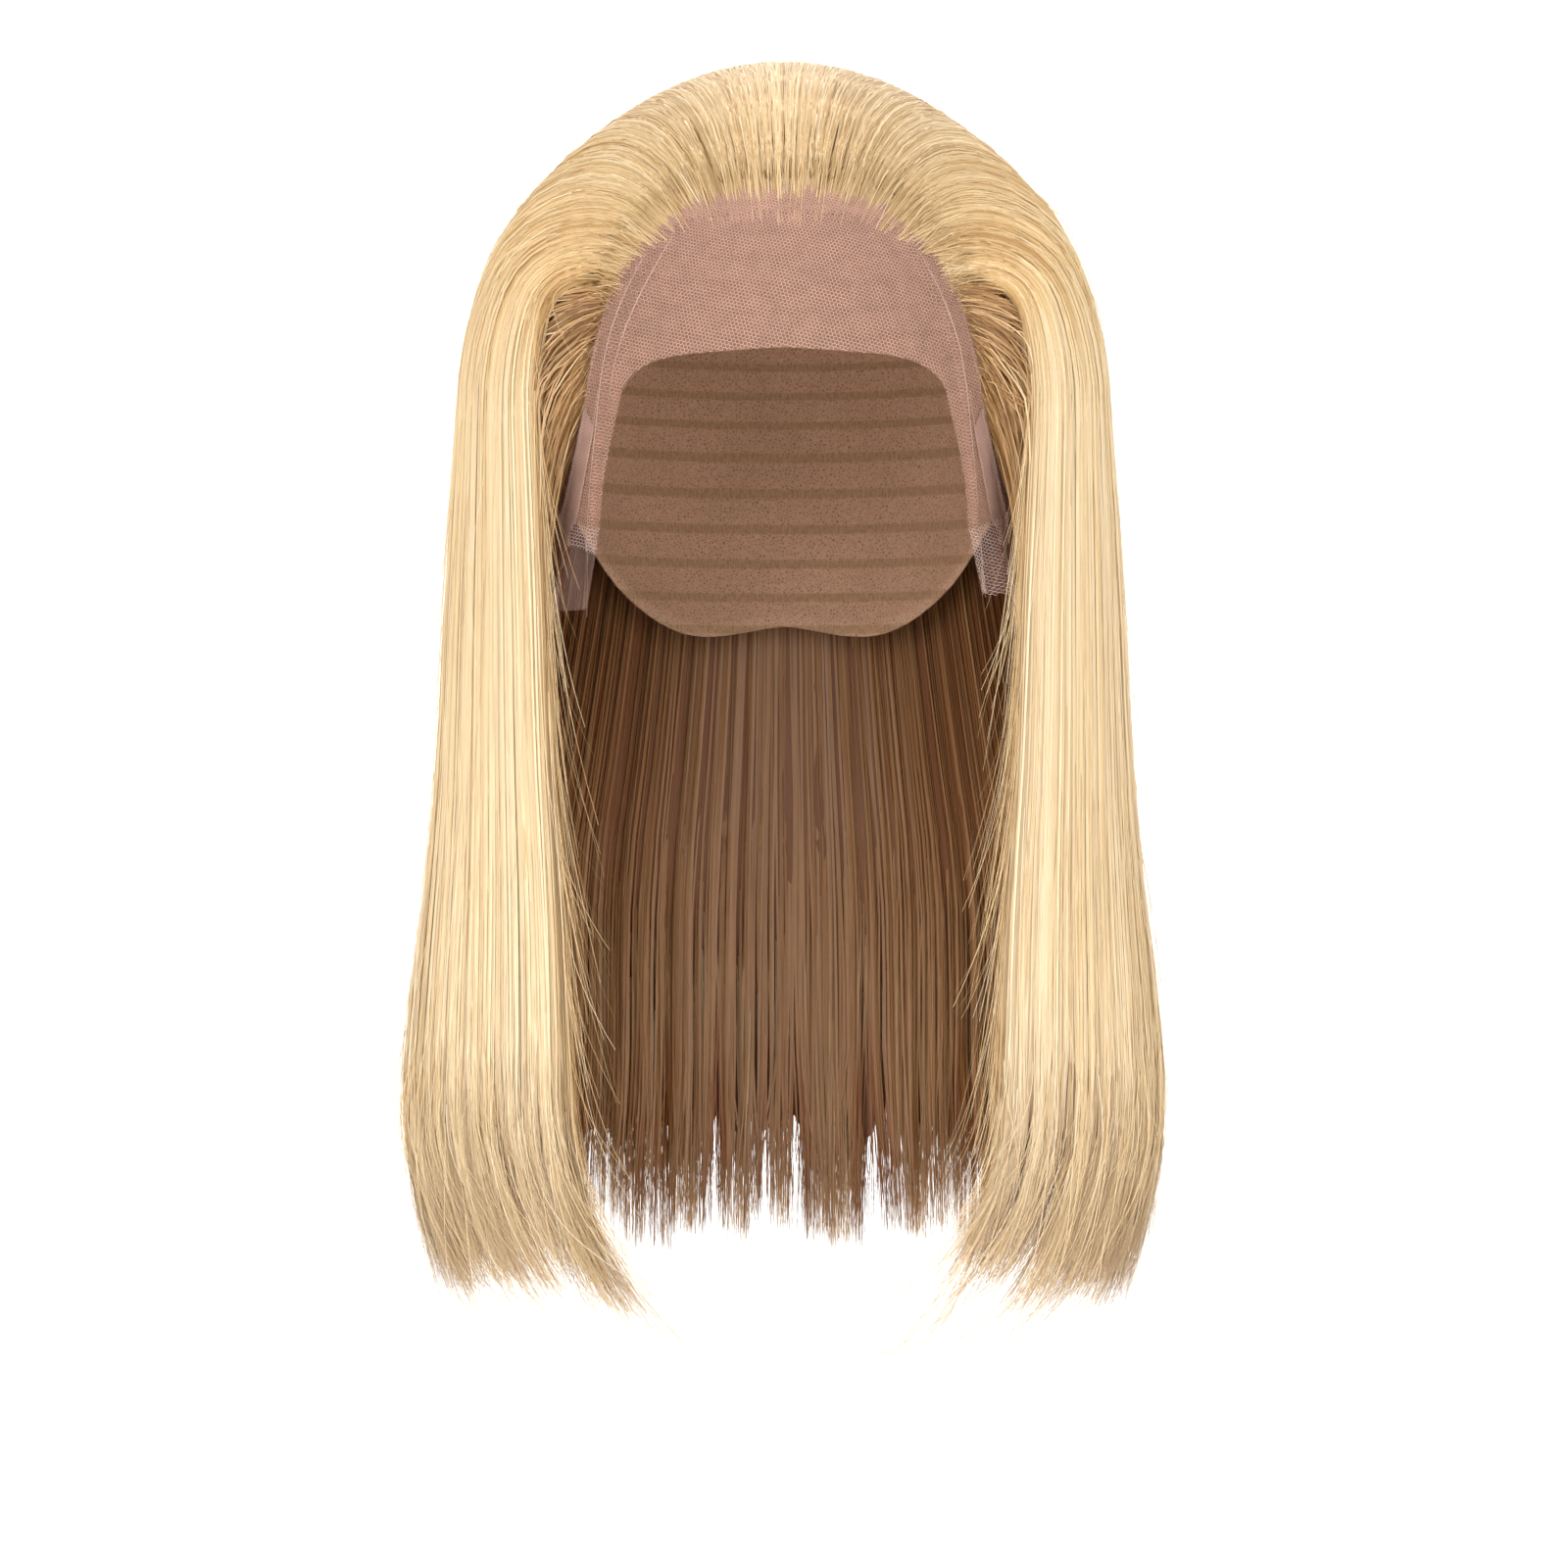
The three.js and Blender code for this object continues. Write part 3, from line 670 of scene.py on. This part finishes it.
def hair_mass(name, low, high, in_front, end, solid):
    """The closed body of hair below the strands, rounded at its front edge and over the shoulders."""
    columns = np.linspace(low, high, max(int(abs(high - low) * 110), 30))
    shares = np.concatenate([[0.0], share_rows(42)[1:]])[:, None]
    jag = 0.014 * np.abs(np.sin(67 * columns + 2 * np.sin(13 * columns))) + 0.01 * np.sin(151 * columns + 1)
    first = 0.032 + 0.009 * np.sin(83 * columns + 2 * np.sin(31 * columns))
    along = first + shares * (end - first) * (1 - jag * smooth(shares, 0.6, 1))
    split = smooth(FALL * (along - ON_HEAD) / (1 - ON_HEAD), SHOULDER_DROP - 25, SHOULDER_DROP + 10)
    full = np.ones_like(along)
    for edge in (low, high):
        near = np.sqrt(np.clip(1 - (1 - np.clip(np.abs(columns - edge) / 0.03, 0, 1)) ** 2, 0.02, 1))
        full = full * (lerp(1, near, split) if abs(edge) == PARTING else near)
    groove = 0.035 * np.sin(132 * columns + 2 * np.sin(19 * columns))
    thin = smooth(shares, 0.75, 1)
    face = lerp(0.1, lerp(0.8 + groove, 0.6, thin), smooth(shares, 0.0, 0.11))
    back_face = lerp(0.05, 0.42, thin)
    middle = (face + back_face) / 2
    front, back = (strand_point(columns, along, middle + (level - middle) * full, in_front)[0]
                   for level in (face, back_face))
    tint = 0.3 + 0.2 * np.sin(61 * columns) * np.sin(23 * columns)
    # Painted shade: the outer face is darker near the roots, and the inner face is much darker in tint and
    # lit value.
    lit_out = stack(tint, along, lerp(0.3, 0.8, smooth(along, 0.02, 0.09)))
    lit_in = stack(0.5 * tint, along, 0.1)
    colors = np.concatenate([lit_out.reshape(-1, 3), lit_in.reshape(-1, 3)])
    streaks = stack(columns * 420, along * 7)
    return keep(shell_object(name, front, back, blonde_mass, colors, streaks), "hair", solid)


back = "crown_and_back_hair"
hair_mass("back_hair_mass", -PARTING, PARTING, False, 0.92, back)
for part, low, high in (("left", -PARTING, 0.0), ("right", 0.0, PARTING)):
    strands(f"{part}_back", outer(2350, low, high), False, back, widths=(0.18, 0.38), steps=22,
            gather=0.3)
strands("hairline", outer(800, -PARTING, PARTING, HAIRLINE_DEPTH), False, back, **HAIRLINE)
strands("back_inside", outer(1100, -PARTING, PARTING, INSIDE_DEPTH), False, back, lit=0.18,
        start=0.41, steps=12, widths=(0.22, 0.48), gather=0.2, taper=0.88)
strands("back_tip", outer(2700, -PARTING, PARTING, (0.0, 0.7)), False, back, start=0.74, steps=8,
        shade_deep=0.75, gather=0.2, taper=0.86)
for side, word in ((-1, "left"), (1, "right")):
    front = f"{word}_front_hair"
    hair_mass(f"{word}_hair_mass", *curtain(side, 0.985), True, 0.88, front)
    low, high = curtain(side, 1 - ROUND * 0.9)
    strands(f"{word}_front", outer(2750, low, high), True, front, seed=21 + side, painted_highlight=0.14,
            relief=0.16, steps=22, gather=0.75)
    strands(f"{word}_hairline", outer(520, low, high, HAIRLINE_DEPTH), True, front, seed=81 + side,
            **HAIRLINE)
    strands(f"{word}_edge", rounded_edge(760, side * 1.0, side), True, front, seed=31 + side,
            shade_deep=0.42, painted_highlight=0.19)
    strands(f"{word}_rear_edge", rounded_edge(260, side * PARTING, -side), True, front, seed=51 + side,
            **PARTED)
    strands(f"{word}_side_edge", rounded_edge(260, side * PARTING, side), False, back, seed=61 + side,
            **PARTED)
    low, high = curtain(side, 0.98)
    strands(f"{word}_inner", outer(480, low, high, INSIDE_DEPTH), True, front, seed=41 + side,
            lit=0.28, start=0.4, steps=12)
    strands(f"{word}_tip", outer(900, low, high, (0.1, 0.8)), True, front, seed=71 + side,
            start=0.7, steps=9, shade_deep=0.9, gather=0.6)


# how high above the widest level the curtain's front edge is, against the place along it
EDGE_RISE, EDGE_ALONG = (0.0, 16.0, 27.0, 33.0, 35.5), (0.42, 0.315, 0.21, 0.11, 0.0)


def temple_strands(side, name, solid, count, fan):
    """Hair of the temple or, as a fan, the hair from it to the front edge of the curtain."""
    steps = 14
    t = np.linspace(0, 1, steps)[None, :]
    root = some(count, 0, 1)
    jag = some(count, 0, 0.12) + 0.05 * rng.exponential(0.4, (count, 1))
    depth = np.clip(some(count, 0.6, 1.0) + waves(count, steps, 0.05, 2), 0.1, 1.1)
    reach = t
    if fan:
        weight = some(count, 0.35, 1.0)
        root = 1.02 - 1.1 * some(count, 0, 1) ** 1.15
        reach, jag = 0.45 * t, 0.0
    wander = root + about(count, 0, 0.03) * (1 - smooth(t, 0, 0.15))
    wander = np.clip(wander + waves(count, steps, 0.025, 2) * smooth(t, 0, 0.3), -0.09, 1.06)
    begin = some(count, 0, 1)
    root_drop = np.where(begin < 0.12, 4.0 * some(count, 0, 1) ** 1.5, -5.0 * begin)
    path = temple_point(side, wander, reach, depth, root_drop, jag, 1.0)
    out = path - temple_point(side, wander, reach, depth - 0.5, root_drop, jag, 1.0)
    if fan:
        # over the hollow between the temple and the curtain, down to the curtain's edge
        above = path[:, :1, 2] + CROWN
        on_fall = ON_HEAD - above * (1 - ON_HEAD) / FALL
        level = np.where(above < 0, on_fall, np.interp(above, EDGE_RISE, EDGE_ALONG))
        edge_at = side * (some(count, 0.965, 1.0) - 0.02 * smooth(t, 0.5, 1))
        edge_along = np.minimum(level + lerp(0.03, some(count, 0.22, 0.36), t), 0.76)
        edge_depth = some(count, 0.55, 0.97) - 0.5 * smooth(t, 0.5, 1.0)
        edge, edge_out = strand_point(edge_at, edge_along, edge_depth, True)
        over = smooth(t, 0.0, lerp(0.75, 0.45, smooth(root, 0.4, 1.0))) * weight
        path = lerp(path, edge, over[..., None])
        out = lerp(out, edge_out, over[..., None])
    half = some(count, 0.1, 0.24) * lerp(0.5, 1, smooth(t, 0, 0.2)) * lerp(1, 0.2, smooth(t, 0.75, 1))
    # Painted shade: the temple's hair takes the darker palette, lighter where a fan strand comes out onto
    # the curtain's edge, and less lit further down.
    tint = np.clip(about(count, 0.38, 0.22) + (0.26 * over if fan else 0.04), 0, 1)
    colors = stack(tint, t, lerp(1.0, 0.72, smooth(t, 0.35, 1.0)))
    made = ribbon_object(name, path, unit(out), half, shaded_golden, colors, about(count, 0, 0.4))
    return keep(made, "shaded_hair", solid)


def temple_mass(side, name, solid):
    """The closed body of hair below the temple's strands."""
    columns, rows = np.linspace(0, 1, 30)[None, :], np.linspace(0.04, 1, 40)[:, None]
    jags = 0.04 * (1 + np.sin(40 * columns))
    front, back = (temple_point(side, columns, rows, depth, 0.0, jags) for depth in (0.55, 0.0))
    # Painted shade: a fixed low tint and a lit value of 0.6, on the temple's darker palette.
    tint = np.broadcast_to(np.array([0.3, 0.5, 0.6]), (2 * columns.size * rows.size, 3))
    mass = shell_object(name, front, back, shaded_golden_mass, tint, stack(columns * 70, rows * 5))
    return keep(mass, "shaded_hair", solid)


for side, word in ((-1, "left"), (1, "right")):
    solid = f"{word}_temple_hair"
    temple_strands(side, f"{word}_temple_strands", solid, 1150, False)
    temple_strands(side, f"{word}_under_strands", solid, 1350, True)
    temple_mass(side, f"{word}_temple_mass", solid)


def flyaways(name, at, begin, length, drift, over, in_front, half_width=0.08, curl=1.0, tone=0.65,
             depth=0.97):
    """Single loose hairs: where on the wig, and how far they stray sideways and off it."""
    count, steps = len(at), 12
    shares = np.linspace(0, 1, steps)[None, :]
    along = np.clip(begin + length * shares, 0, 1.03)
    if in_front:
        drift = np.sign(at) * np.minimum(np.sign(at) * drift, 1.065 - np.abs(at))
    spread = at + drift * shares**1.7
    if in_front:
        spread = np.sign(at) * np.clip(np.abs(spread), PARTING + 0.005, 1.07)
    else:
        spread = np.clip(spread, -PARTING, PARTING)
    off = over * np.sin(np.pi * np.clip(shares * 0.8, 0, 1)) ** 1.2
    off = np.minimum(off, 7.5) * smooth(along, 0.02, 0.25) + waves(count, steps, 0.25, 3)
    path, out = strand_point(spread, along, depth, in_front, 0.0, curl, off)
    half = half_width * (1 - 0.6 * shares)
    colors = stack(np.clip(about(count, tone, 0.2), 0, 1), along, 1.0)
    made = ribbon_object(name, path, out, half, blonde, colors, about(count, 0, 1.2), rows=2)
    return keep(made, "hair")


def lifts(count, shape, size):
    """A column of numbers of which most are small and a few are large."""
    return rng.gamma(shape, size, (count, 1))


n = 480
flyaways("back_flyaways", some(n, -PARTING, PARTING), some(n, 0.03, 0.8), some(n, 0.1, 0.35),
         about(n, 0, 0.03), lifts(n, 1.5, 1.5), False)
for side, word in ((-1, "left"), (1, "right")):
    n = 260
    flyaways(f"{word}_flyaways", side * lerp(PARTING, 1.0, some(n, 0, 1) ** 1.8), some(n, 0.03, 0.85),
             some(n, 0.1, 0.35), about(n, 0, 0.03), lifts(n, 1.5, 1.7), True, 0.09)
    n = 420
    # Painted shade: the hairs off the curtains' front edges get a darker tone.
    flyaways(f"{word}_edge_flyaways", side * some(n, 0.985, 1.004), some(n, 0.35, 0.88), some(n, 0.08, 0.3),
             side * lifts(n, 0.9, 0.026), lifts(n, 1.2, 0.5), True, 0.1, about(n, 1.0, 0.3), 0.5,
             some(n, 0.2, 0.6))
    n = 200
    flyaways(f"{word}_tip_flyaways", side * some(n, 0.64, 1.0), some(n, 0.84, 0.95), some(n, 0.06, 0.18),
             side * about(n, 0.02, 0.04), lifts(n, 1.5, 1.7), True, 0.11, about(n, 1.3, 0.5))


# Lace: its places are turns and drops on the head, and millimetres when it is spread flat
LACE_RADIUS = 96.0
ACROSS_PER_TURN = HEAD_SIDE * 0.93 * np.pi / 180
FILM_LIFTS = (0.45, 0.95)
NET_LIFT, FOLDED_NET_LIFT, CREASE_LINE_LIFT, FOLD_LINE_LIFT = 0.6, 1.1, 0.75, 1.5
HEXAGON, THREAD_WIDTH, FOLD_LINE_HALF = 1.12, 0.19, 0.2
# the flat field that the hexagons fill, and the drop about which it is turned
FIELD_HALF, FIELD_TOP, FIELD_TALL, FIELD_PIVOT = 95, 78.0, 130, 150
LaceRows = namedtuple("LaceRows", "turn drop edge_turn edge_drop tail side")
LaceGrid = namedtuple("LaceGrid", "turn drop lift tail torn folded")


def lace_rows():
    """Rows across the lace, from the end of the left tail to that of the right, as columns."""
    above, beside = np.linspace(0, HAIRLINE_TURN, 40), np.linspace(HAIRLINE_TURN, LACE_EDGE[-1, 0], 56)
    keys = np.concatenate([above, beside[1:]])
    edge_turn = value_at(LACE_EDGE[:, 0], LACE_EDGE[:, 1], keys)
    edge_drop = CROWN * value_at(LACE_EDGE[:, 0], LACE_EDGE[:, 2], keys)
    half = np.stack([keys, rim_drop(keys), edge_turn, edge_drop, 0 * keys], axis=-1)
    tail = np.linspace(0, 1, 24)[1:, None]
    tails = np.concatenate([lerp(half[-1, :4], np.array(TAIL_END), tail), tail], axis=-1)
    half = np.concatenate([half, tails])
    both = []
    for side in (-1, 1):
        rows = np.insert(half, 5, side, axis=1)
        short = lerp(1.0, TAIL_SHARE[side], rows[:, 4])
        rows[:, 1] *= short
        rows[:, 3] *= short
        both.append(rows[1:][::-1] if side < 0 else rows)
    return LaceRows(*np.concatenate(both).T[..., None])


def lace_places(rows, across):
    """Turn, drop, lift and lean of the lace; where across is below 0 it lies under the hair."""
    ahead, under = np.clip(across, 0, 1), np.clip(-across, 0, None)
    fade = 1 - rows.tail
    turn = rows.side * lerp(rows.turn, rows.edge_turn, ahead)
    turn = turn + rows.side * under * 16 * smooth(rows.turn, 38, 48) * fade
    drop = lerp(rows.drop, rows.edge_drop, ahead) - under * 34 * (1 - smooth(rows.turn, 38, 50)) * fade
    lean = turn - rows.side * CREASE_LEAN * ahead
    lift = sum(h * np.exp(-(((lean - c) / w) ** 2)) * np.sin(np.pi * ahead) ** 0.7 for c, w, h in CREASES)
    lift = lift + TAIL_FOLD * rows.tail * (1 - np.cos(2 * np.pi * TAIL_FOLDS * ahead))
    return turn, drop, lift + 0.8 * (1 - smooth(across, -0.02, 0.08)) * fade, lean


def lace_surface(turn, drop, lift):
    point = head_point(np.radians(turn), np.minimum(tilt_at(drop), np.pi / 2), lift)
    point[..., 2] = np.where(drop > CROWN, -drop, point[..., 2])
    return point


def flat_place(turn, drop):
    """Where a place on the lace lies when the lace is spread flat."""
    tilt = np.minimum(tilt_at(np.minimum(drop, CROWN)), np.pi / 2)
    return ACROSS_PER_TURN * turn, LACE_RADIUS * tilt + np.maximum(drop - CROWN, 0)


def unroll(x, y):
    """Turn and drop of a flat place."""
    over = y / LACE_RADIUS - math.pi / 2
    below = CROWN + LACE_RADIUS * over
    return x / ACROSS_PER_TURN, np.where(over < 0, CROWN - CROWN * np.cos(y / LACE_RADIUS), below)


def inside_outline(places, outline):
    """Which flat places lie within a closed outline."""
    x, y = places[:, 0, None], places[:, 1, None]
    x0, y0 = outline[:, 0], outline[:, 1]
    x1, y1 = np.roll(x0, -1), np.roll(y0, -1)
    crosses = (y0 > y) != (y1 > y)
    at = x0 + (y - y0) * (x1 - x0) / np.where(y1 == y0, 1, y1 - y0)
    return (crosses & (x < at)).sum(axis=1) % 2 == 1


def fold_reach(tail):
    """How far across the lace the band goes that is folded double down a tail."""
    return 0.42 + 0.05 * np.sin(30 * tail + 1) - 0.12 * tail


def lace_grid(rows):
    """The places of the lace, with what is torn off the tails' ends and where it is folded double."""
    across = np.linspace(-0.3, 1, 34)
    turn, drop, lift, _ = lace_places(rows, across)
    tail = np.broadcast_to(rows.tail, turn.shape)
    bite = 0.03 * (1 + np.sin(turn * 3.1 + 1)) + 0.014 * (1 + np.sin(turn * 11.3))
    torn = tail > 0.998 - bite
    in_tail = (tail > 0.0) & (across > -0.01) & ~torn
    beside_tail = (tail == 0.0) & (across > 0.0) & (rows.turn > 51)
    return LaceGrid(turn, drop, lift, tail, torn, (across < fold_reach(tail)) & (in_tail | beside_tail))


def build_lace_sheet(grid):
    """The sheer film between the threads: plain, folded double, and thin beside the fold."""
    n, m = grid.turn.shape
    quads = grid_faces(np.arange(n * m).reshape(n, m))
    quads = quads[~grid.torn.ravel()[quads].any(axis=1)]
    doubled = quads[grid.folded.ravel()[quads].all(axis=1)] + n * m
    layers = np.stack([lace_surface(grid.turn, grid.drop, grid.lift + lifted) for lifted in FILM_LIFTS])
    sheet = mesh_object("lace_sheet", layers, np.concatenate([quads, doubled]), film)
    sheet.data.materials.append(folded_film)
    sheet.data.materials.append(thin_film)
    thin = ((grid.tail > 0.1) & ~grid.folded).ravel()[quads].all(axis=1)
    slots = np.concatenate([np.where(thin, 2, 0), np.ones(len(doubled), dtype=int)])
    sheet.data.polygons.foreach_set("material_index", slots.astype(np.int32))
    loose = bmesh.new()
    loose.from_mesh(sheet.data)
    bmesh.ops.delete(loose, geom=[v for v in loose.verts if not v.link_faces], context="VERTS")
    loose.to_mesh(sheet.data)
    loose.free()
    return sheet


def weave(grid, tree, outline, lifted, only_folded, shift, lean):
    """Threads of hexagons, laid out flat and carried to the curved lace, and which are in a tail."""
    reach = HEXAGON / math.sqrt(3)
    across, down = int(FIELD_HALF / HEXAGON), int(FIELD_TALL / (1.5 * reach))
    line, col = np.meshgrid(np.arange(down), np.arange(-across, across + 1), indexing="ij")
    hub = stack((col + 0.5 * (line % 2)) * HEXAGON + shift, FIELD_TOP + line * 1.5 * reach).reshape(-1, 2)
    spokes = np.array([[-HEXAGON / 2, -reach / 2], [HEXAGON / 2, -reach / 2], [0, reach]])
    a = np.repeat(hub, len(spokes), axis=0)
    b = a + np.tile(spokes, (len(hub), 1))
    c, s = math.cos(lean), math.sin(lean)
    spin, pivot = np.array([[c, s], [-s, c]]), np.array([0, FIELD_PIVOT])
    a, b = ((end - pivot) @ spin + pivot for end in (a, b))
    kept = inside_outline(a, outline) & inside_outline(b, outline)
    a, b = a[kept], b[kept]
    near_a, near_b = (np.array([tree.find((x, y, 0.0))[1] for x, y in end]) for end in (a, b))
    torn, folded = grid.torn.ravel(), grid.folded.ravel()
    ok = ~(torn[near_a] | torn[near_b])
    if only_folded:
        ok &= folded[near_a] & folded[near_b]
    a, b = (lace_surface(*unroll(end[ok, 0], end[ok, 1]), grid.lift.ravel()[near][ok] + lifted)
            for end, near in ((a, near_a), (b, near_b)))
    normal = unit((a + b) / 2 * np.array([1 / HEAD_SIDE**2, 1 / HEAD_FRONT**2, 0]))
    side = THREAD_WIDTH / 2 * unit(np.cross(b - a, normal))
    corners = np.stack([a - side, a + side, b + side, b - side], axis=1).reshape(-1, 3)
    return corners, grid.tail.ravel()[near_b][ok] > 0.02


def build_lace_net(grid):
    """The net's threads, and a second layer of them where the tails are folded double."""
    u, v = flat_place(grid.turn, grid.drop)
    outline = np.concatenate([stack(u[:, 0], v[:, 0]), stack(u[::-1, -1], v[::-1, -1])])
    tree = KDTree(u.size)
    for i, (x, y) in enumerate(zip(u.ravel(), v.ravel())):
        tree.insert((x, y, 0.0), i)
    tree.balance()
    single = weave(grid, tree, outline, NET_LIFT, False, 0.0, 0.26)
    double = weave(grid, tree, outline, FOLDED_NET_LIFT, True, 0.5, 0.4)
    points, in_tail = (np.concatenate(both) for both in zip(single, double))
    net = mesh_object("lace_net", points, np.arange(len(points)).reshape(-1, 4), thread, smooth_shade=False)
    net.data.materials.append(tail_thread)
    net.data.polygons.foreach_set("material_index", in_tail.astype(np.int32))
    return net


def build_lace_folds(rows):
    """Thin raised ridges, lighter as a painted highlight: along each crease of the lace, and along the
    folded edge of each tail.
    """
    t = np.linspace(0.12, 0.8, 30)
    turn, drop, _, lean = lace_places(rows, t)
    lines = []
    for center, _, high in CREASES:
        at_turn, at_drop = (np.array([np.interp(center, lean[:, j], place[:, j]) for j in range(len(t))])
                            for place in (turn, drop))
        lines.append(lace_surface(at_turn, at_drop, high * np.sin(np.pi * t) ** 0.7 + CREASE_LINE_LIFT))
    for side in (-1, 1):
        picked = np.flatnonzero((rows.side == side) & ((rows.tail > 0) | (rows.turn > 49)))
        picked = picked[np.argsort(rows.turn[picked, 0])]
        tail = LaceRows(*(column[picked] for column in rows))
        at_turn, at_drop, lift, _ = lace_places(tail, fold_reach(tail.tail))
        line = lace_surface(at_turn, at_drop, lift + FOLD_LINE_LIFT)[:, 0]
        pick = np.linspace(0, len(line) - 1, len(t))
        lines.append(stack(*(np.interp(pick, np.arange(len(line)), axis) for axis in line.T)))
    path = np.stack(lines)
    out = unit(path * np.array([1.0, 1.0, 0.0]))
    half = FOLD_LINE_HALF * np.sin(np.pi * np.linspace(0.05, 0.95, len(t))) ** 0.5
    return ribbon_object("lace_folds", path, out, half, fold_highlight, np.ones(3), rows=1)


rows = lace_rows()
grid = lace_grid(rows)
lace_sheet = keep(build_lace_sheet(grid), "lace", "lace_front")
lace_net = keep(build_lace_net(grid), "lace", "lace_front")
lace_folds = keep(build_lace_folds(rows), "lace", "lace_front")
lace_area = sum(p.area for p in lace_sheet.data.polygons)


# Cap
CAP_RADIUS, WEFT_PITCH, WEFT_HIGH, HEM_HIGH, CAP_INSIDE = 95, 9.0, 0.35, 0.35, 0.55


def build_cap():
    """One closed shell from the crown to the rim, with the rows of wefts and the hem inside it."""
    turn, share = np.meshgrid(np.linspace(-180, 180, 109), np.linspace(0, 1, 46))
    rim_tilt = tilt_at(rim_drop(turn))
    tilt = rim_tilt * share
    to_rim = (1 - share) * rim_tilt * CAP_RADIUS
    wefts = WEFT_HIGH * np.cos(np.pi * tilt * CAP_RADIUS / WEFT_PITCH) ** 8 * smooth(to_rim, 4.0, 8.0)
    hem = HEM_HIGH * (1 - smooth(to_rim, 4.5, 6.0)) * smooth(np.abs(turn), 58, 68)
    outside = head_point(np.radians(turn), tilt, CAP_WALL - 0.2)
    inside = head_point(np.radians(turn), tilt, CAP_INSIDE - wefts - hem)
    streaks = stack(turn / 10, tilt * CAP_RADIUS / WEFT_PITCH)
    made = shell_object("cap_cloth", outside, inside, cap_net, None, streaks)
    weld = bmesh.new()
    weld.from_mesh(made.data)
    bmesh.ops.remove_doubles(weld, verts=weld.verts, dist=1e-6)

    def within_wall(face):
        """Whether a face lies where the shell's two ends meet, at the middle of the back."""
        return all(abs(v.co.x) < 1e-6 and v.co.y > 0 for v in face.verts)

    seam = [face for face in weld.faces if face.calc_area() < 1e-10 or within_wall(face)]
    bmesh.ops.delete(weld, geom=seam, context="FACES_ONLY")
    weld.to_mesh(made.data)
    weld.free()
    return made


cap_cloth = keep(build_cap(), "cap_net", "cap")
cap_area = sum(p.area for p in cap_cloth.data.polygons) / 2


# Stage and light, in metres
FLOOR, FLOOR_FRONT, FLOOR_BACK, WALL_TOP, STUDIO_HALF, COVE = -0.5, -3.0, 1.0, 3.5, 4.0, 0.8


def backdrop():
    """A floor that curves up into a wall behind the wig."""
    cove = [(FLOOR_BACK + COVE * math.sin(a), FLOOR + COVE * (1 - math.cos(a)))
            for a in np.linspace(0.1, math.pi / 2, 12)]
    profile = [(FLOOR_FRONT, FLOOR), (FLOOR_BACK, FLOOR), *cove, (FLOOR_BACK + COVE, WALL_TOP)]
    points = [(x * 1000, y * 1000, z * 1000) for y, z in profile for x in (-STUDIO_HALF, STUDIO_HALF)]
    faces = [(2 * i, 2 * i + 1, 2 * i + 3, 2 * i + 2) for i in range(len(profile) - 1)]
    material, tree, shader = new_material("studio_paper")
    noise = noise_at(tree, in_object(tree), 3.0, 2.0)
    paper = ramp(tree, noise, [(0, (0.86, 0.86, 0.86)), (1, (0.9, 0.9, 0.9))])
    feed(tree, shader, {"Base Color": paper, "Roughness": 0.9})
    return mesh_object("studio_floor", points, faces, material)


backdrop()


def area_light(name, place, target, size, power, color=(1, 1, 1)):
    data = bpy.data.lights.new(name, "AREA")
    data.shape = "RECTANGLE"
    data.size, data.size_y = size
    data.energy = power
    data.color = color
    lamp = link(bpy.data.objects.new(name, data))
    lamp.location = place
    lamp.rotation_euler = (Vector(target) - Vector(place)).to_track_quat("-Z", "Y").to_euler()


area_light("key", (-0.75, -1.9, 0.45), (0, 0, -0.18), (1.3, 1.3), 25, (1.0, 0.985, 0.965))
area_light("fill", (0.95, -1.8, 0.25), (0, 0, -0.18), (1.3, 1.3), 15.5)
area_light("top", (0.0, -0.2, 1.3), (0, 0, -0.1), (1.2, 0.9), 7)
area_light("back_light", (0.0, 1.0, 1.2), (0, 1.9, -0.3), (3.0, 1.2), 38)

world = bpy.data.worlds.new("studio")
world.use_nodes = True
feed(world.node_tree, world.node_tree.nodes["Background"], {"Color": (*WHITE, 1), "Strength": 0.62})
bpy.context.scene.world = world
bpy.context.scene.view_settings.view_transform = "Standard"
